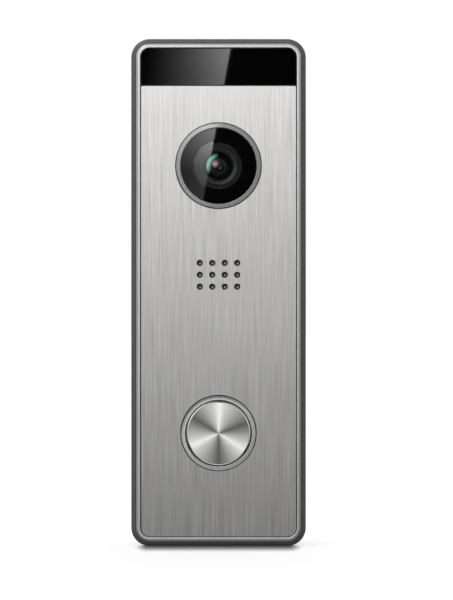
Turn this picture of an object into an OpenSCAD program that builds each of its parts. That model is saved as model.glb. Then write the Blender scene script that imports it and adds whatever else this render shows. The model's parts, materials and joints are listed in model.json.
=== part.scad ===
// Slim surface-mounted door intercom panel.
// The origin is the centre of the face that lies against the wall.
// +Z is up, +X is to the right for a person facing the panel, and the front looks along -Y.
// A depth is measured from the wall towards the front. All sizes are in millimetres.

/* [Body] */
// Width of the housing
body_w = 52; // [51:1:70]
// Height of the housing
body_h = 151; // [150:1:200]
// Depth from the wall to the crest of the trim
body_d = 22; // [21.6:0.2:30]
// Radius of the housing's corners, seen from the front
corner_r = 5.55; // [5:0.05:9]

/* [Housing] */
// Thickness of the side walls
wall_t = 2.2; // [2:0.1:2.6]
// Width of the ledge that the rear gasket lies on
ledge_w = 1.2; // [1:0.1:1.6]
// Thickness of the wall behind the front plate
front_wall_t = 2; // [1.8:0.1:2.4]
// Gap between the housing's back edge and the wall
wall_gap = 0.3; // [0.2:0.1:0.6]
// Rounding of the front outer edge
edge_round = 1.3; // [0.8:0.1:1.4]
// Outside diameter of the bosses that the rear cover is screwed to
cover_boss_d = 5.5; // [5:0.1:6]
// Outside diameter of the bosses that the boards are screwed to
board_boss_d = 4.2; // [4:0.1:5]

/* [Trim] */
// Width of the housing's rim outside the trim
rim_w = 1.44; // [1.42:0.01:1.6]
// Width of the trim's sloping outer facet
trim_slope_w = 0.6; // [0.4:0.05:0.8]
// Width of the trim's flat inner facet
trim_flat_w = 0.6; // [0.4:0.05:0.8]
// Height of the trim's crest above the front plate
trim_rise = 0.6; // [0.4:0.1:0.8]

/* [Front plate and window] */
// Thickness of the brushed plate and of the window
plate_t = 1; // [0.8:0.1:1.2]
// Thickness of the adhesive behind them
adhesive_t = 0.3; // [0.2:0.05:0.4]
// Gap round the plate and the window
plate_gap = 0.3; // [0.2:0.05:0.4]
// Height from the window's lower edge to the inside of the trim
window_h = 11.14; // [10:0.1:12]
// Width of the adhesive round the window's opening
window_bond_w = 1.5; // [1:0.1:1.8]

/* [Camera] */
// Distance from the top of the housing to the camera's axis
camera_from_top = 37.8; // [36:0.1:40]
// Outside diameter of the camera's ring
camera_ring_od = 25.2; // [24:0.1:30.5]
// Inside diameter of the camera's ring
camera_ring_id = 22.8; // [21.8:0.1:23.2]
// Height of the camera's ring above the plate
camera_ring_rise = 0.3; // [0:0.1:0.5]
// Gap between the camera's ring and the edge of the plate
camera_ring_gap = 0.27; // [0.2:0.01:0.4]
// Thickness of the camera's cover glass
camera_glass_t = 1.5; // [1:0.1:1.6]
// Diameter of the lens barrel's head
barrel_head_d = 14.5; // [14:0.1:16]
// Diameter of the lens barrel's thread
barrel_thread_d = 12; // [11.5:0.5:12]
// Distance from the camera board to the front of the lens
lens_track = 10.4; // [10:0.1:10.6]
// Side of the square camera board
camera_board_w = 34; // [32:0.5:34]

/* [Infrared lamps] */
// Diameter of each lamp
led_d = 5; // [4:0.5:5]
// Length of each lamp
led_l = 7.6; // [6:0.1:7.8]
// Distance from the centre line to the inner lamps
led_inner_x = 4.8; // [4.8:0.1:5.4]
// Distance from the centre line to the outer lamps
led_outer_x = 11.6; // [11.2:0.1:12]
// Diameter of the daylight sensor
sensor_d = 3; // [2.5:0.1:3]

/* [Speaker] */
// Distance from the camera's axis down to the grille's centre
speaker_below_camera = 32.46; // [31.5:0.1:34]
// Columns of grille holes
grille_columns = 4; // [3:1:5]
// Rows of grille holes
grille_rows = 3; // [2:1:4]
// Diameter of a grille hole
grille_hole_d = 1.85; // [1.2:0.05:2.2]
// Spacing between the columns
grille_pitch_x = 3.71; // [2.6:0.05:3.9]
// Spacing between the rows
grille_pitch_z = 3.53; // [2.6:0.05:3.9]
// Diameter of the speaker
speaker_d = 20; // [18:0.5:20]
// Depth of the speaker's frame
speaker_depth = 3.2; // [2.8:0.1:3.6]

/* [Call button] */
// Distance from the bottom of the housing to the button's axis
button_from_bottom = 33.6; // [32:0.1:36]
// Outside diameter of the button's ring
button_ring_od = 22.2; // [21.6:0.1:27]
// Width of the button's ring
button_ring_w = 1.25; // [1.1:0.05:1.5]
// Depth of the button's ring below the plate's face
button_ring_recess = 0.35; // [0.1:0.05:0.5]
// Gap between the button's ring and the edge of the plate
button_ring_gap = 0.33; // [0.2:0.01:0.4]
// Gap between the cap and its ring
cap_gap = 0.32; // [0.2:0.01:0.4]
// Thickness of the cap
cap_t = 2.3; // [2:0.1:2.5]
// Height of the cap's face above the plate
cap_rise = 0.5; // [0.3:0.1:0.6]
// Travel of the button
button_travel = 0.8; // [0.4:0.1:0.9]
// Diameter of the button's stem
stem_d = 6; // [5:0.1:6]
// Diameter of the spring's wire
spring_wire_d = 0.5; // [0.4:0.05:0.6]
// Number of turns in the spring
spring_turns = 3; // [2:1:3]

/* [Rear] */
// Depth of the rear cover's back face
cover_from_wall = 5.6; // [5.4:0.1:6]
// Thickness of the rear cover
cover_t = 1.6; // [1.4:0.1:1.7]
// Thickness of the rear gasket
gasket_t = 0.6; // [0.4:0.1:0.8]
// Thickness of the wall bracket
bracket_t = 1.2; // [1:0.1:1.5]
// Spacing of the two wall screws
wall_screw_spacing = 100; // [90:1:110]
// Diameter of the wall screws' holes
wall_screw_hole_d = 4.5; // [4:0.1:5]
// Width of the bracket's cable window
cable_window_w = 22; // [20:1:26]
// Height of the bracket's cable window
cable_window_h = 25; // [22:1:26]
// Diameter of the locking screw
lock_screw_d = 3; // [2.5:0.1:3]

/* [Boards] */
// Thickness of the main board
board_t = 1.6; // [1.2:0.1:1.6]
// Gap between the rear cover and the main board
board_rear_gap = 1.6; // [1.5:0.1:1.8]
// Gap between the main board and the housing's side walls
board_side_gap = 1.6; // [1:0.1:2]
// Diameter of the board screws
board_screw_d = 2; // [1.8:0.1:2.2]
// Diameter of the cover screws
cover_screw_d = 2.6; // [2.4:0.1:2.8]
// Ways in the terminal header
header_ways = 4; // [3:1:5]
// Spacing of the header's pins
header_pitch = 2.5; // [2:0.1:2.54]

/* [Hidden] */

$fn = 64;
// Clearances: a running fit, a piece dropped into its seat, and a loose piece
running = 0.05;
seated = 0.1;
loose = 0.3;

// Depths of the stack, from the front plate back
plate_front = body_d - trim_rise;
plate_back = plate_front - plate_t;
wall_front = plate_back - adhesive_t;
wall_back = wall_front - front_wall_t;
// Shoulder that the camera's and the button's rings sit on
ring_seat = wall_front - front_wall_t / 2;

// Depths of the stack, from the wall forward
cover_front = cover_from_wall + cover_t;
ledge_at = cover_front + gasket_t;
board_back = cover_front + board_rear_gap;
board_front = board_back + board_t;

// Outline of the front
trim_inset = rim_w + trim_slope_w + trim_flat_w;
plate_inset = trim_inset + plate_gap;
cavity_inset = wall_t + ledge_w;
window_low = body_h / 2 - trim_inset - window_h;
plate_high = window_low - plate_gap;
window_z = (window_low + body_h / 2 - plate_inset) / 2;

// Camera
camera_z = body_h / 2 - camera_from_top;
camera_lip_t = 0.4;
camera_lip_w = 1.1;
glass_seal_t = 0.3;
camera_ring_front = plate_front + camera_ring_rise;
glass_back = ring_seat + camera_lip_t + glass_seal_t;
glass_d = camera_ring_id - 2 * running;
camera_lip_id = camera_ring_id - 2 * camera_lip_w;
lens_front = glass_back - 0.4;
camera_board_t = 1.2;
camera_board_front = lens_front - lens_track;
camera_board_back = camera_board_front - camera_board_t;
lens_rear = camera_board_front + 1.6;
barrel_head_l = 4.8;
lens_step_d = 11.3;
lens_mouth_d = 9.2;
lens_step_at = lens_front - 1.6;
lens_bore_d = 7;
front_element_d = lens_step_d - 2 * seated;
front_element_back = lens_step_at - 1;
rear_element_d = lens_bore_d - 2 * running;
holder_base_w = 16;
holder_base_t = 1.4;
holder_tube_l = 4.2;
holder_wall = 1.6;
sensor_w = 7.6;
sensor_t = 0.9;
sensor_pocket_w = 10;
filter_t = 0.3;
camera_screw_x = camera_board_w / 2 - 2.8;
camera_screws = [for (x = [-1, 1], z = [-1, 1]) [x * camera_screw_x, camera_z + z * camera_screw_x]];

// Infrared board
ir_board_t = 1;
led_tip = wall_front - 0.8;
ir_board_front = led_tip - led_l;
ir_board_back = ir_board_front - ir_board_t;
ir_board_h = 8.4;
ir_board_w = 2 * (led_outer_x + led_d / 2 + 1);
ir_ear_h = 4.6;
ir_screw_x = ir_board_w / 2 + 2.1;
ir_screw_z = window_z - ir_board_h / 2 + ir_ear_h / 2;
led_xs = [-led_outer_x, -led_inner_x, led_inner_x, led_outer_x];
ir_screws = [for (x = [-1, 1]) [x * ir_screw_x, ir_screw_z]];
led_flange = 0.4;
wire_d = 0.9;

// Speaker
speaker_z = camera_z - speaker_below_camera;
grille_open_d = speaker_d - 5;
mesh_d = grille_open_d + 1.8;
mesh_t = 0.2;
speaker_gasket_t = 0.4;
speaker_front = wall_back - speaker_gasket_t;
speaker_back = speaker_front - speaker_depth;
collar_wall = 1;
magnet_d = speaker_d / 2;
magnet_t = 2.4;

// Call button
button_z = button_from_bottom - body_h / 2;
button_ring_id = button_ring_od - 2 * button_ring_w;
button_ring_front = plate_front - button_ring_recess;
cap_d = button_ring_id - 2 * cap_gap;
cap_front = plate_front + cap_rise;
cap_back = cap_front - cap_t;
stem_in_cap = 1;
// Switch under the button
switch_w = 6;
switch_body_h = 3.5;
switch_front = board_front + switch_body_h;
plunger_d = 3.5;
plunger_out = button_travel + 0.1;
plunger_in = 1.4;
stem_back = switch_front + plunger_out;
clip_t = 0.6;
clip_gap = 0.2;
clip_d = stem_d + 3;
clip_groove_d = stem_d - 1;
clip_back = stem_back + clip_gap;
guide_back = clip_back + clip_t + 0.1;
guide_floor_t = 1;
guide_floor = guide_back + guide_floor_t;
guide_seal_t = 0.4;
guide_front = wall_back - guide_seal_t;
guide_pocket_d = cap_d - 2;
guide_body_d = guide_pocket_d + 3;
guide_flange_t = 1;
guide_tube_d = stem_d + 2.4;
guide_tube_front = cap_back - button_travel - 0.2;
guide_screw_x = guide_body_d / 2 + 2.6;
guide_flange_d = 2 * guide_screw_x + 4;
guide_screws_at = [for (x = [-1, 1]) [x * guide_screw_x, button_z]];
guide_screw_d = 1.6;
spring_d = guide_tube_d + 2 * loose + spring_wire_d;

// Rear
cover_screw_x = body_w / 2 - cavity_inset - 2;
cover_screw_high = body_h / 2 - cavity_inset - 2;
cover_screw_mid = camera_z - camera_board_w / 2 - 3.5;
cover_screws_at = [for (x = [-1, 1], z = [-cover_screw_high, cover_screw_mid, cover_screw_high])
    [x * cover_screw_x, z]];
cover_clear = 0.2;
bracket_clear = 0.5;
bracket_w = body_w - 2 * (wall_t + bracket_clear);
bracket_h = body_h - 2 * (wall_t + bracket_clear);
bracket_flange_to = cover_from_wall - 2.2;
hook_x = 10;
hook_w = 6;
hook_t = 1.2;
hook_back = bracket_t + 2.2;
hook_reach = 0.8;
hook_flange_w = 32;
lock_at = (wall_gap + cover_from_wall) / 2 + 0.25;
lock_head_d = lock_screw_d + 2;
lock_head_h = 1.4;
lock_sink = 0.15;
lock_flange_w = 12;
lock_screw_l = wall_t + bracket_clear + bracket_t + 1.5;

// Main board, from just above its lower screws to just under the middle cover screws
board_w = body_w - 2 * (cavity_inset + board_side_gap);
board_low = -body_h / 2 + cavity_inset + 6.1;
board_high = cover_screw_mid - cover_boss_d / 2 - 0.9;
board_screw_x = board_w / 2 - 2.5;
board_screws_at = [for (x = [-1, 1], z = [board_low + 3.5, board_high - 3.5])
    [x * board_screw_x, z]];
screw_head_h = 1.2;
capacitor_d = 5;
capacitor_h = 5.8;
capacitors_at = [for (x = [-1, 1], z = [0, 7]) [x * (board_w / 2 - 5), button_z + 21 + z]];

// Adjusters and terminal header on the back of the main board
header_z = button_z + 23.4;
header_l = header_ways * header_pitch + 2.4;
header_h = 5.8;
header_wall = 0.65;
header_depth = 7;
header_floor = 1;
header_back = board_back - header_depth;
pin_w = 0.64;
trimmer_x = 12;
trimmer_z = button_z + 4;
trimmer_d = 6;
trimmer_rotor_d = 3.6;
trimmer_t = 1.6;
format_x = -12;
format_w = 7;
format_h = 3.6;
format_t = 1.5;
format_travel = 2;
format_knob_w = 1.6;
format_knob_h = 1.4;

// Microphone, in the middle of the room under the front wall
mic_x = 9;
mic_d = 6;
mic_l = 2.8;
mic_at = (board_front + wall_back) / 2 - 1;
mic_boot_d = mic_d + 2;
mic_boot_l = 3.8;
mic_hole_d = 1.5;
mic_floor = -body_h / 2 + cavity_inset;

// Chips on the camera board, clear of the lens holder and of the lamps' wires
chip_gap = 1.2;
top_chip_h = 4.4;

// Connectors for the flat cable between the camera board and the main board
ribbon_w = 7;
connector_h = 3;
connector_t = 1.5;
connector_high = camera_z - camera_board_w / 2 + 2.4;
connector_low = board_high - 4;

// The return spring's mesh, from the guide's floor to the back of the cap
spring_sides = 8;
spring_steps = 24 * spring_turns;
spring_low = guide_floor + spring_wire_d / 2;
spring_high = cap_back - spring_wire_d / 2;

// ---------- Shared shapes ----------

// Turns a shape drawn in the front view, with its thickness along +Z, to stand at a depth
module at_depth(depth) {
    translate([0, -depth, 0]) rotate([90, 0, 0]) children();
}

// A flat shape from one depth to a larger one
module slab(from, to) {
    at_depth(from) linear_extrude(to - from) children();
}

// A round rod along the depth
module rod(place, from, to, d) {
    translate([place[0], 0, place[1]]) at_depth(from) cylinder(d = d, h = to - from);
}

// A turned piece on an axis along the depth: its outline is given as [radius, depth]
module turned(place) {
    translate([place[0], 0, place[1]]) at_depth(0) rotate_extrude() children();
}

// A flat ring along the depth
module washer(place, from, to, outer, inner) {
    difference() {
        rod(place, from, to, outer);
        rod(place, from - 1, to + 1, inner);
    }
}

// A box given by its centre in the front view and its two depths
module block(place, w, h, from, to) {
    translate([place[0] - w / 2, -to, place[1] - h / 2]) cube([w, to - from, h]);
}

module rounded_rectangle(w, h, r) {
    square([w - 2 * r, h], center = true);
    square([w, h - 2 * r], center = true);
    for (x = [-1, 1], y = [-1, 1]) translate([x * (w / 2 - r), y * (h / 2 - r)]) circle(r);
}

// The body's outline, moved in from its edge
module outline(inset) {
    rounded_rectangle(body_w - 2 * inset, body_h - 2 * inset, corner_r - inset);
}

// Carries a section round the body's outline. The section is drawn as [inset, depth].
module round_outline() {
    straight_w = body_w - 2 * corner_r;
    straight_h = body_h - 2 * corner_r;
    at_depth(0) for (turn = [0, 1]) rotate(180 * turn) {
        translate([body_w / 2, straight_h / 2, 0]) rotate([90, 0, 0])
            linear_extrude(straight_h) mirror([1, 0]) children();
        rotate(90) translate([body_h / 2, straight_w / 2, 0]) rotate([90, 0, 0])
            linear_extrude(straight_w) mirror([1, 0]) children();
        translate([straight_w / 2, straight_h / 2, 0])
            rotate_extrude(angle = 90) translate([corner_r, 0]) mirror([1, 0]) children();
        translate([-straight_w / 2, straight_h / 2, 0]) rotate(90)
            rotate_extrude(angle = 90) translate([corner_r, 0]) mirror([1, 0]) children();
    }
}

// A pan-head screw that goes in from the back, with a cross in its head. The shank begins inside
// the head, so the head ends exactly on its seat.
module pan_screw(place, seat, length, d, head_d, head_h) {
    difference() {
        union() {
            rod(place, seat - 0.3 * head_h, seat + length, d);
            rod(place, seat - head_h, seat, head_d);
        }
        for (w = [[0.6, 0.14], [0.14, 0.6]])
            block(place, w[0] * head_d, w[1] * head_d, seat - head_h - 1, seat - 0.4 * head_h);
    }
}

// Insulated wire along a list of points given as [x, depth, z]
module wire(points, d) {
    for (i = [1:len(points) - 1]) hull() for (p = [points[i - 1], points[i]])
        translate([p[0], -p[1], p[2]]) sphere(d = d, $fn = 16);
}

// ---------- Housing and front ----------

module housing_section() {
    difference() {
        union() {
            translate([0, wall_gap]) square([wall_t, wall_front - wall_gap]);
            translate([0, ledge_at]) square([cavity_inset, wall_front - ledge_at]);
            translate([0, wall_back]) square([rim_w - running, plate_front - wall_back]);
        }
        difference() {
            translate([-1, plate_front - edge_round]) square([edge_round + 1, edge_round + 1]);
            translate([edge_round, plate_front - edge_round]) circle(edge_round);
        }
    }
}

module housing() {
    color([0.22, 0.22, 0.23]) difference() {
        union() {
            round_outline() housing_section();
            slab(wall_back, wall_front) outline(wall_t);
            for (p = cover_screws_at) rod(p, ledge_at, wall_back + 0.5, cover_boss_d);
            for (p = board_screws_at) rod(p, board_front, wall_back + 0.5, board_boss_d);
            for (p = camera_screws) rod(p, camera_board_front, wall_back + 0.5, board_boss_d);
            for (p = ir_screws) rod(p, ir_board_front, wall_back + 0.5, board_boss_d - 0.4);
            washer([0, speaker_z], speaker_back, wall_back + 0.5,
                speaker_d + 2 * (seated + collar_wall), speaker_d + 2 * seated);
        }
        // Camera and button
        rod([0, camera_z], ring_seat, plate_front, camera_ring_od + 2 * seated);
        rod([0, camera_z], wall_back - 1, plate_front, camera_lip_id);
        rod([0, button_z], ring_seat, plate_front, button_ring_od + 2 * seated);
        rod([0, button_z], wall_back - 1, plate_front, button_ring_id + 0.4);
        // Speaker and lamps
        rod([0, speaker_z], wall_back - 1, plate_front, grille_open_d);
        for (x = led_xs) rod([x, window_z], wall_back - 1, plate_front, led_d + 2 * loose);
        rod([0, window_z], wall_back - 1, plate_front, sensor_d + 2 * loose);
        // Pilot holes
        for (p = cover_screws_at) rod(p, ledge_at - 1, ledge_at + 7, cover_screw_d);
        for (p = board_screws_at) rod(p, board_front - 1, board_front + 5, board_screw_d);
        for (p = camera_screws) rod(p, camera_board_front - 1, camera_board_front + 5, board_screw_d);
        for (p = ir_screws) rod(p, ir_board_front - 1, ir_board_front + 5, board_screw_d);
        for (p = guide_screws_at) rod(p, wall_back - 1, wall_back + 1.5, guide_screw_d);
        // Pockets in the top wall for the bracket's hooks
        for (x = [-hook_x, hook_x]) translate([x - hook_w / 2 - loose, -hook_back - hook_t - loose,
            body_h / 2 - wall_t - 1])
            cube([hook_w + 2 * loose, hook_t + 2 * loose, hook_reach + loose + 1]);
        // Sunk hole in the bottom wall for the locking screw
        translate([0, -lock_at, -body_h / 2 - 1]) cylinder(d = lock_screw_d + 0.4, h = wall_t + 2);
        translate([0, -lock_at, -body_h / 2 + lock_sink])
            cylinder(d1 = lock_head_d + 2 * seated, d2 = lock_screw_d + 2 * seated, h = lock_head_h);
        translate([0, -lock_at, -body_h / 2 - 1])
            cylinder(d = lock_head_d + 2 * seated, h = 1 + lock_sink);
        // Sound hole for the microphone
        translate([mic_x, -mic_at, -body_h / 2 - 1]) cylinder(d = mic_hole_d, h = cavity_inset + 2);
    }
}

module trim_frame() {
    color([0.62, 0.62, 0.63]) round_outline() polygon([
        [rim_w, wall_front], [rim_w, plate_front], [rim_w + trim_slope_w, body_d],
        [trim_inset, body_d], [trim_inset, wall_front]]);
}

module plate_shape() {
    intersection() {
        outline(plate_inset);
        translate([-body_w / 2, -body_h / 2]) square([body_w, body_h / 2 + plate_high]);
    }
}

module window_shape() {
    intersection() {
        outline(plate_inset);
        translate([-body_w / 2, window_low]) square([body_w, body_h]);
    }
}

module grille_holes() {
    for (i = [0:grille_columns - 1], j = [0:grille_rows - 1]) translate([
        (i - (grille_columns - 1) / 2) * grille_pitch_x,
        (j - (grille_rows - 1) / 2) * grille_pitch_z + speaker_z]) circle(d = grille_hole_d);
}

module front_plate() {
    color([0.72, 0.71, 0.7]) slab(plate_back, plate_front) difference() {
        plate_shape();
        translate([0, camera_z]) circle(d = camera_ring_od + 2 * camera_ring_gap);
        translate([0, button_z]) circle(d = button_ring_od + 2 * button_ring_gap);
        grille_holes();
    }
}

module plate_adhesive() {
    color([0.1, 0.1, 0.1]) slab(wall_front, plate_back) difference() {
        plate_shape();
        translate([0, camera_z]) circle(d = camera_ring_od + 2);
        translate([0, button_z]) circle(d = button_ring_od + 2);
        translate([0, speaker_z]) circle(d = mesh_d + 2 * seated);
    }
}

module ir_window() {
    color([0.03, 0.03, 0.035]) slab(plate_back, plate_front) window_shape();
}

module window_adhesive() {
    opening_w = body_w - 2 * (plate_inset + window_bond_w);
    opening_h = body_h / 2 - plate_inset - window_low - 2 * window_bond_w;
    color([0.1, 0.1, 0.1]) slab(wall_front, plate_back) difference() {
        window_shape();
        translate([0, window_z]) square([opening_w, opening_h], center = true);
    }
}

// ---------- Camera ----------

module camera_ring() {
    outer = camera_ring_od / 2;
    inner = camera_ring_id / 2;
    bevel = 0.2;
    color([0.55, 0.55, 0.56]) turned([0, camera_z]) polygon([
        [camera_lip_id / 2, ring_seat], [outer, ring_seat], [outer, camera_ring_front - bevel],
        [outer - bevel, camera_ring_front], [inner + bevel, camera_ring_front],
        [inner, camera_ring_front - bevel], [inner, ring_seat + camera_lip_t],
        [camera_lip_id / 2, ring_seat + camera_lip_t]]);
}

module camera_glass() {
    bevel = 0.15;
    front = glass_back + camera_glass_t;
    color([0.02, 0.02, 0.025, 0.5]) turned([0, camera_z]) polygon([
        [0, glass_back], [glass_d / 2, glass_back], [glass_d / 2, front - bevel],
        [glass_d / 2 - bevel, front], [0, front]]);
}

module camera_glass_seal() {
    color([0.05, 0.05, 0.05]) washer([0, camera_z], glass_back - glass_seal_t, glass_back,
        glass_d, camera_lip_id + 0.2);
}

module light_shield() {
    color([0.03, 0.03, 0.03]) washer([0, camera_z], wall_back - 1, ring_seat - seated,
        camera_lip_id - 2 * seated, barrel_head_d + 2 * seated);
}

module lens_barrel() {
    head_back = lens_front - barrel_head_l;
    bevel = 0.3;
    color([0.05, 0.05, 0.055]) turned([0, camera_z]) polygon([
        [lens_bore_d / 2, lens_rear], [barrel_thread_d / 2, lens_rear],
        [barrel_thread_d / 2, head_back], [barrel_head_d / 2, head_back],
        [barrel_head_d / 2, lens_front - bevel], [barrel_head_d / 2 - bevel, lens_front],
        [lens_step_d / 2 + bevel, lens_front], [lens_step_d / 2, lens_front - bevel],
        [lens_step_d / 2, front_element_back], [lens_bore_d / 2, front_element_back]]);
}

module lens_retainer() {
    front = lens_front - 0.5;
    color([0.25, 0.25, 0.26]) turned([0, camera_z]) polygon([
        [lens_mouth_d / 2 - 0.4, lens_step_at], [front_element_d / 2, lens_step_at],
        [front_element_d / 2, front], [lens_mouth_d / 2, front]]);
}

// A disc with a shallow dome on its front, the cap of a sphere
module lens_front_element() {
    dome_r = 7;
    base_r = lens_mouth_d / 2 - 0.6;
    centre = lens_step_at - sqrt(dome_r * dome_r - base_r * base_r);
    color([0.1, 0.2, 0.18, 0.6]) {
        rod([0, camera_z], front_element_back, lens_step_at, front_element_d);
        intersection() {
            translate([0, -centre, camera_z]) sphere(dome_r);
            rod([0, camera_z], lens_step_at - 0.2, lens_front, 2 * base_r);
        }
    }
}

module lens_rear_element() {
    color([0.6, 0.7, 0.7, 0.6])
        rod([0, camera_z], lens_rear + 0.4, lens_rear + 2.4, rear_element_d);
}

module lens_holder() {
    base_front = camera_board_front + holder_base_t;
    color([0.08, 0.08, 0.08]) difference() {
        union() {
            block([0, camera_z], holder_base_w, holder_base_w, camera_board_front, base_front);
            rod([0, camera_z], base_front - 0.2, base_front + holder_tube_l,
                barrel_thread_d + 2 * holder_wall);
        }
        block([0, camera_z], sensor_pocket_w, sensor_pocket_w, camera_board_front - 1,
            base_front - 0.1);
        rod([0, camera_z], base_front - 0.2, base_front + holder_tube_l + 1,
            barrel_thread_d + 2 * running);
    }
}

module infrared_filter() {
    back = camera_board_front + sensor_t + 0.05;
    color([0.5, 0.25, 0.3, 0.6]) block([0, camera_z], sensor_w + 1, sensor_w + 1, back,
        back + filter_t);
}

module image_sensor() {
    color([0.12, 0.14, 0.16]) block([0, camera_z], sensor_w, sensor_w, camera_board_front,
        camera_board_front + sensor_t);
}

module camera_board() {
    color([0.05, 0.3, 0.16]) difference() {
        block([0, camera_z], camera_board_w, camera_board_w, camera_board_back, camera_board_front);
        for (p = camera_screws) rod(p, camera_board_back - 1, camera_board_front + 1,
            board_screw_d + 0.3);
    }
}

module camera_chips() {
    beside = holder_base_w / 2 + chip_gap;
    color([0.07, 0.07, 0.08]) {
        for (x = [-1, 1]) block([x * (beside + 3), camera_z], 6, 7, camera_board_front,
            camera_board_front + 1);
        block([0, camera_z + beside + top_chip_h / 2], 9, top_chip_h, camera_board_front,
            camera_board_front + 1);
    }
}

// ---------- Infrared lamps ----------

module ir_board() {
    color([0.05, 0.3, 0.16]) difference() {
        union() {
            block([0, window_z], ir_board_w, ir_board_h, ir_board_back, ir_board_front);
            block([0, ir_screw_z], 2 * ir_screw_x + 4, ir_ear_h, ir_board_back, ir_board_front);
        }
        for (p = ir_screws) rod(p, ir_board_back - 1, ir_board_front + 1, board_screw_d + 0.3);
    }
}

// A lamp with a flange at its foot and a round top
module lamp(place, d, tip) {
    straight = tip - d / 2;
    rod(place, ir_board_front, ir_board_front + led_flange, d + 0.6);
    rod(place, ir_board_front, straight, d);
    translate([place[0], -straight, place[1]]) sphere(d = d);
}

module ir_leds() {
    color([0.75, 0.78, 0.8, 0.7]) for (x = led_xs) lamp([x, window_z], led_d, led_tip);
}

module light_sensor() {
    color([0.8, 0.75, 0.7]) lamp([0, window_z], sensor_d, led_tip - 1);
}

module ir_wires() {
    start = ir_board_back - wire_d / 2;
    low = camera_z + holder_base_w / 2 + chip_gap + top_chip_h + chip_gap / 2 + wire_d / 2;
    color([0.75, 0.1, 0.08]) for (x = [-2, 0, 2]) wire([
        [x, start, window_z - 2], [x, start - 0.3, low + 4],
        [x, camera_board_front + wire_d / 2, low]], wire_d);
}

module ribbon_connectors() {
    color([0.85, 0.83, 0.76]) {
        block([0, connector_high], ribbon_w + 3, connector_h, camera_board_front,
            camera_board_front + connector_t);
        block([0, connector_low], ribbon_w + 3, connector_h, board_front,
            board_front + connector_t);
    }
}

// The flat cable runs straight from the middle of one connector to the middle of the other
module camera_ribbon() {
    ribbon_t = 0.3;
    high = [connector_high - connector_h / 2, camera_board_front + connector_t / 2];
    low = [connector_low + connector_h / 2, board_front + connector_t / 2];
    color([0.9, 0.9, 0.88]) translate([-ribbon_w / 2, 0, 0]) rotate([90, 0, 90])
        linear_extrude(ribbon_w) polygon([[-high[1], high[0]], [-high[1] - ribbon_t, high[0]],
            [-low[1] - ribbon_t, low[0]], [-low[1], low[0]]]);
}

// ---------- Speaker and microphone ----------

module grille_mesh() {
    color([0.3, 0.3, 0.31]) rod([0, speaker_z], wall_front, wall_front + mesh_t, mesh_d);
}

module speaker_gasket() {
    color([0.05, 0.05, 0.05]) washer([0, speaker_z], speaker_front, wall_back, speaker_d,
        grille_open_d + 1);
}

module speaker_frame() {
    outer = speaker_d / 2;
    color([0.15, 0.15, 0.16]) turned([0, speaker_z]) polygon([
        [magnet_d / 2, speaker_back], [outer, speaker_back], [outer, speaker_front],
        [outer - 1.2, speaker_front], [outer - 1.2, speaker_back + 0.8],
        [magnet_d / 2, speaker_back + 0.8]]);
}

// A shallow cone with a flat rim and a flat middle
module speaker_cone() {
    outer = speaker_d / 2 - 1.3;
    rim = speaker_front - 0.6;
    dip = 1.1;
    paper = 0.25;
    color([0.2, 0.19, 0.18]) turned([0, speaker_z]) polygon([
        [0, rim - dip], [outer / 3, rim - dip], [outer * 0.8, rim], [outer, rim],
        [outer, rim - paper], [outer * 0.8, rim - paper], [outer / 3, rim - dip - paper],
        [0, rim - dip - paper]]);
}

module speaker_magnet() {
    color([0.6, 0.6, 0.62]) rod([0, speaker_z], speaker_back + 0.8 - magnet_t,
        speaker_back + 0.8, magnet_d - 2 * running);
}

module speaker_leads() {
    out = speaker_d / 2 - 2;
    color([0.7, 0.08, 0.08]) for (x = [-1.2, 1.2])
        rod([x, speaker_z - out], board_front, speaker_back, wire_d);
}

module microphone() {
    color([0.65, 0.65, 0.66]) translate([mic_x, -mic_at, mic_floor + 0.8])
        cylinder(d = mic_d, h = mic_l);
}

module microphone_boot() {
    color([0.04, 0.04, 0.04]) translate([mic_x, -mic_at, mic_floor]) difference() {
        cylinder(d = mic_boot_d, h = mic_boot_l);
        translate([0, 0, 0.8]) cylinder(d = mic_d, h = mic_boot_l);
        translate([0, 0, -1]) cylinder(d = mic_hole_d, h = 3);
    }
}

// ---------- Call button ----------

module button_ring() {
    outer = button_ring_od / 2;
    inner = button_ring_id / 2;
    bevel = 0.3;
    color([0.5, 0.5, 0.51]) turned([0, button_z]) polygon([
        [inner, ring_seat], [outer, ring_seat], [outer, button_ring_front - bevel],
        [outer - bevel, button_ring_front], [inner + bevel, button_ring_front],
        [inner, button_ring_front - bevel]]);
}

module button_cap() {
    edge = cap_d / 2;
    bevel = 0.25;
    color([0.75, 0.75, 0.76]) difference() {
        turned([0, button_z]) polygon([[0, cap_back], [edge - bevel, cap_back],
            [edge, cap_back + bevel], [edge, cap_front - bevel], [edge - bevel, cap_front],
            [0, cap_front]]);
        rod([0, button_z], cap_back - 1, cap_back + stem_in_cap, stem_d);
    }
}

module button_stem() {
    color([0.85, 0.85, 0.83]) difference() {
        rod([0, button_z], stem_back, cap_back + stem_in_cap, stem_d);
        washer([0, button_z], clip_back, clip_back + clip_t, stem_d + 1, clip_groove_d);
    }
}

// An open retaining ring in the stem's groove
module button_clip() {
    color([0.4, 0.4, 0.42]) difference() {
        washer([0, button_z], clip_back, clip_back + clip_t, clip_d, clip_groove_d);
        block([0, button_z - clip_d / 2], clip_groove_d - 1, clip_d, clip_back - 1,
            clip_back + clip_t + 1);
    }
}

// A coil spring: a ring of points is carried along a helix, and both ends are closed
function spring_point(i, j) = let (
    turn = 360 * i / 24,
    around = 360 * j / spring_sides,
    reach = spring_d / 2 + spring_wire_d / 2 * cos(around))
    [reach * cos(turn), reach * sin(turn),
        spring_low + (spring_high - spring_low) * i / spring_steps
        + spring_wire_d / 2 * sin(around)];

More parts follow.
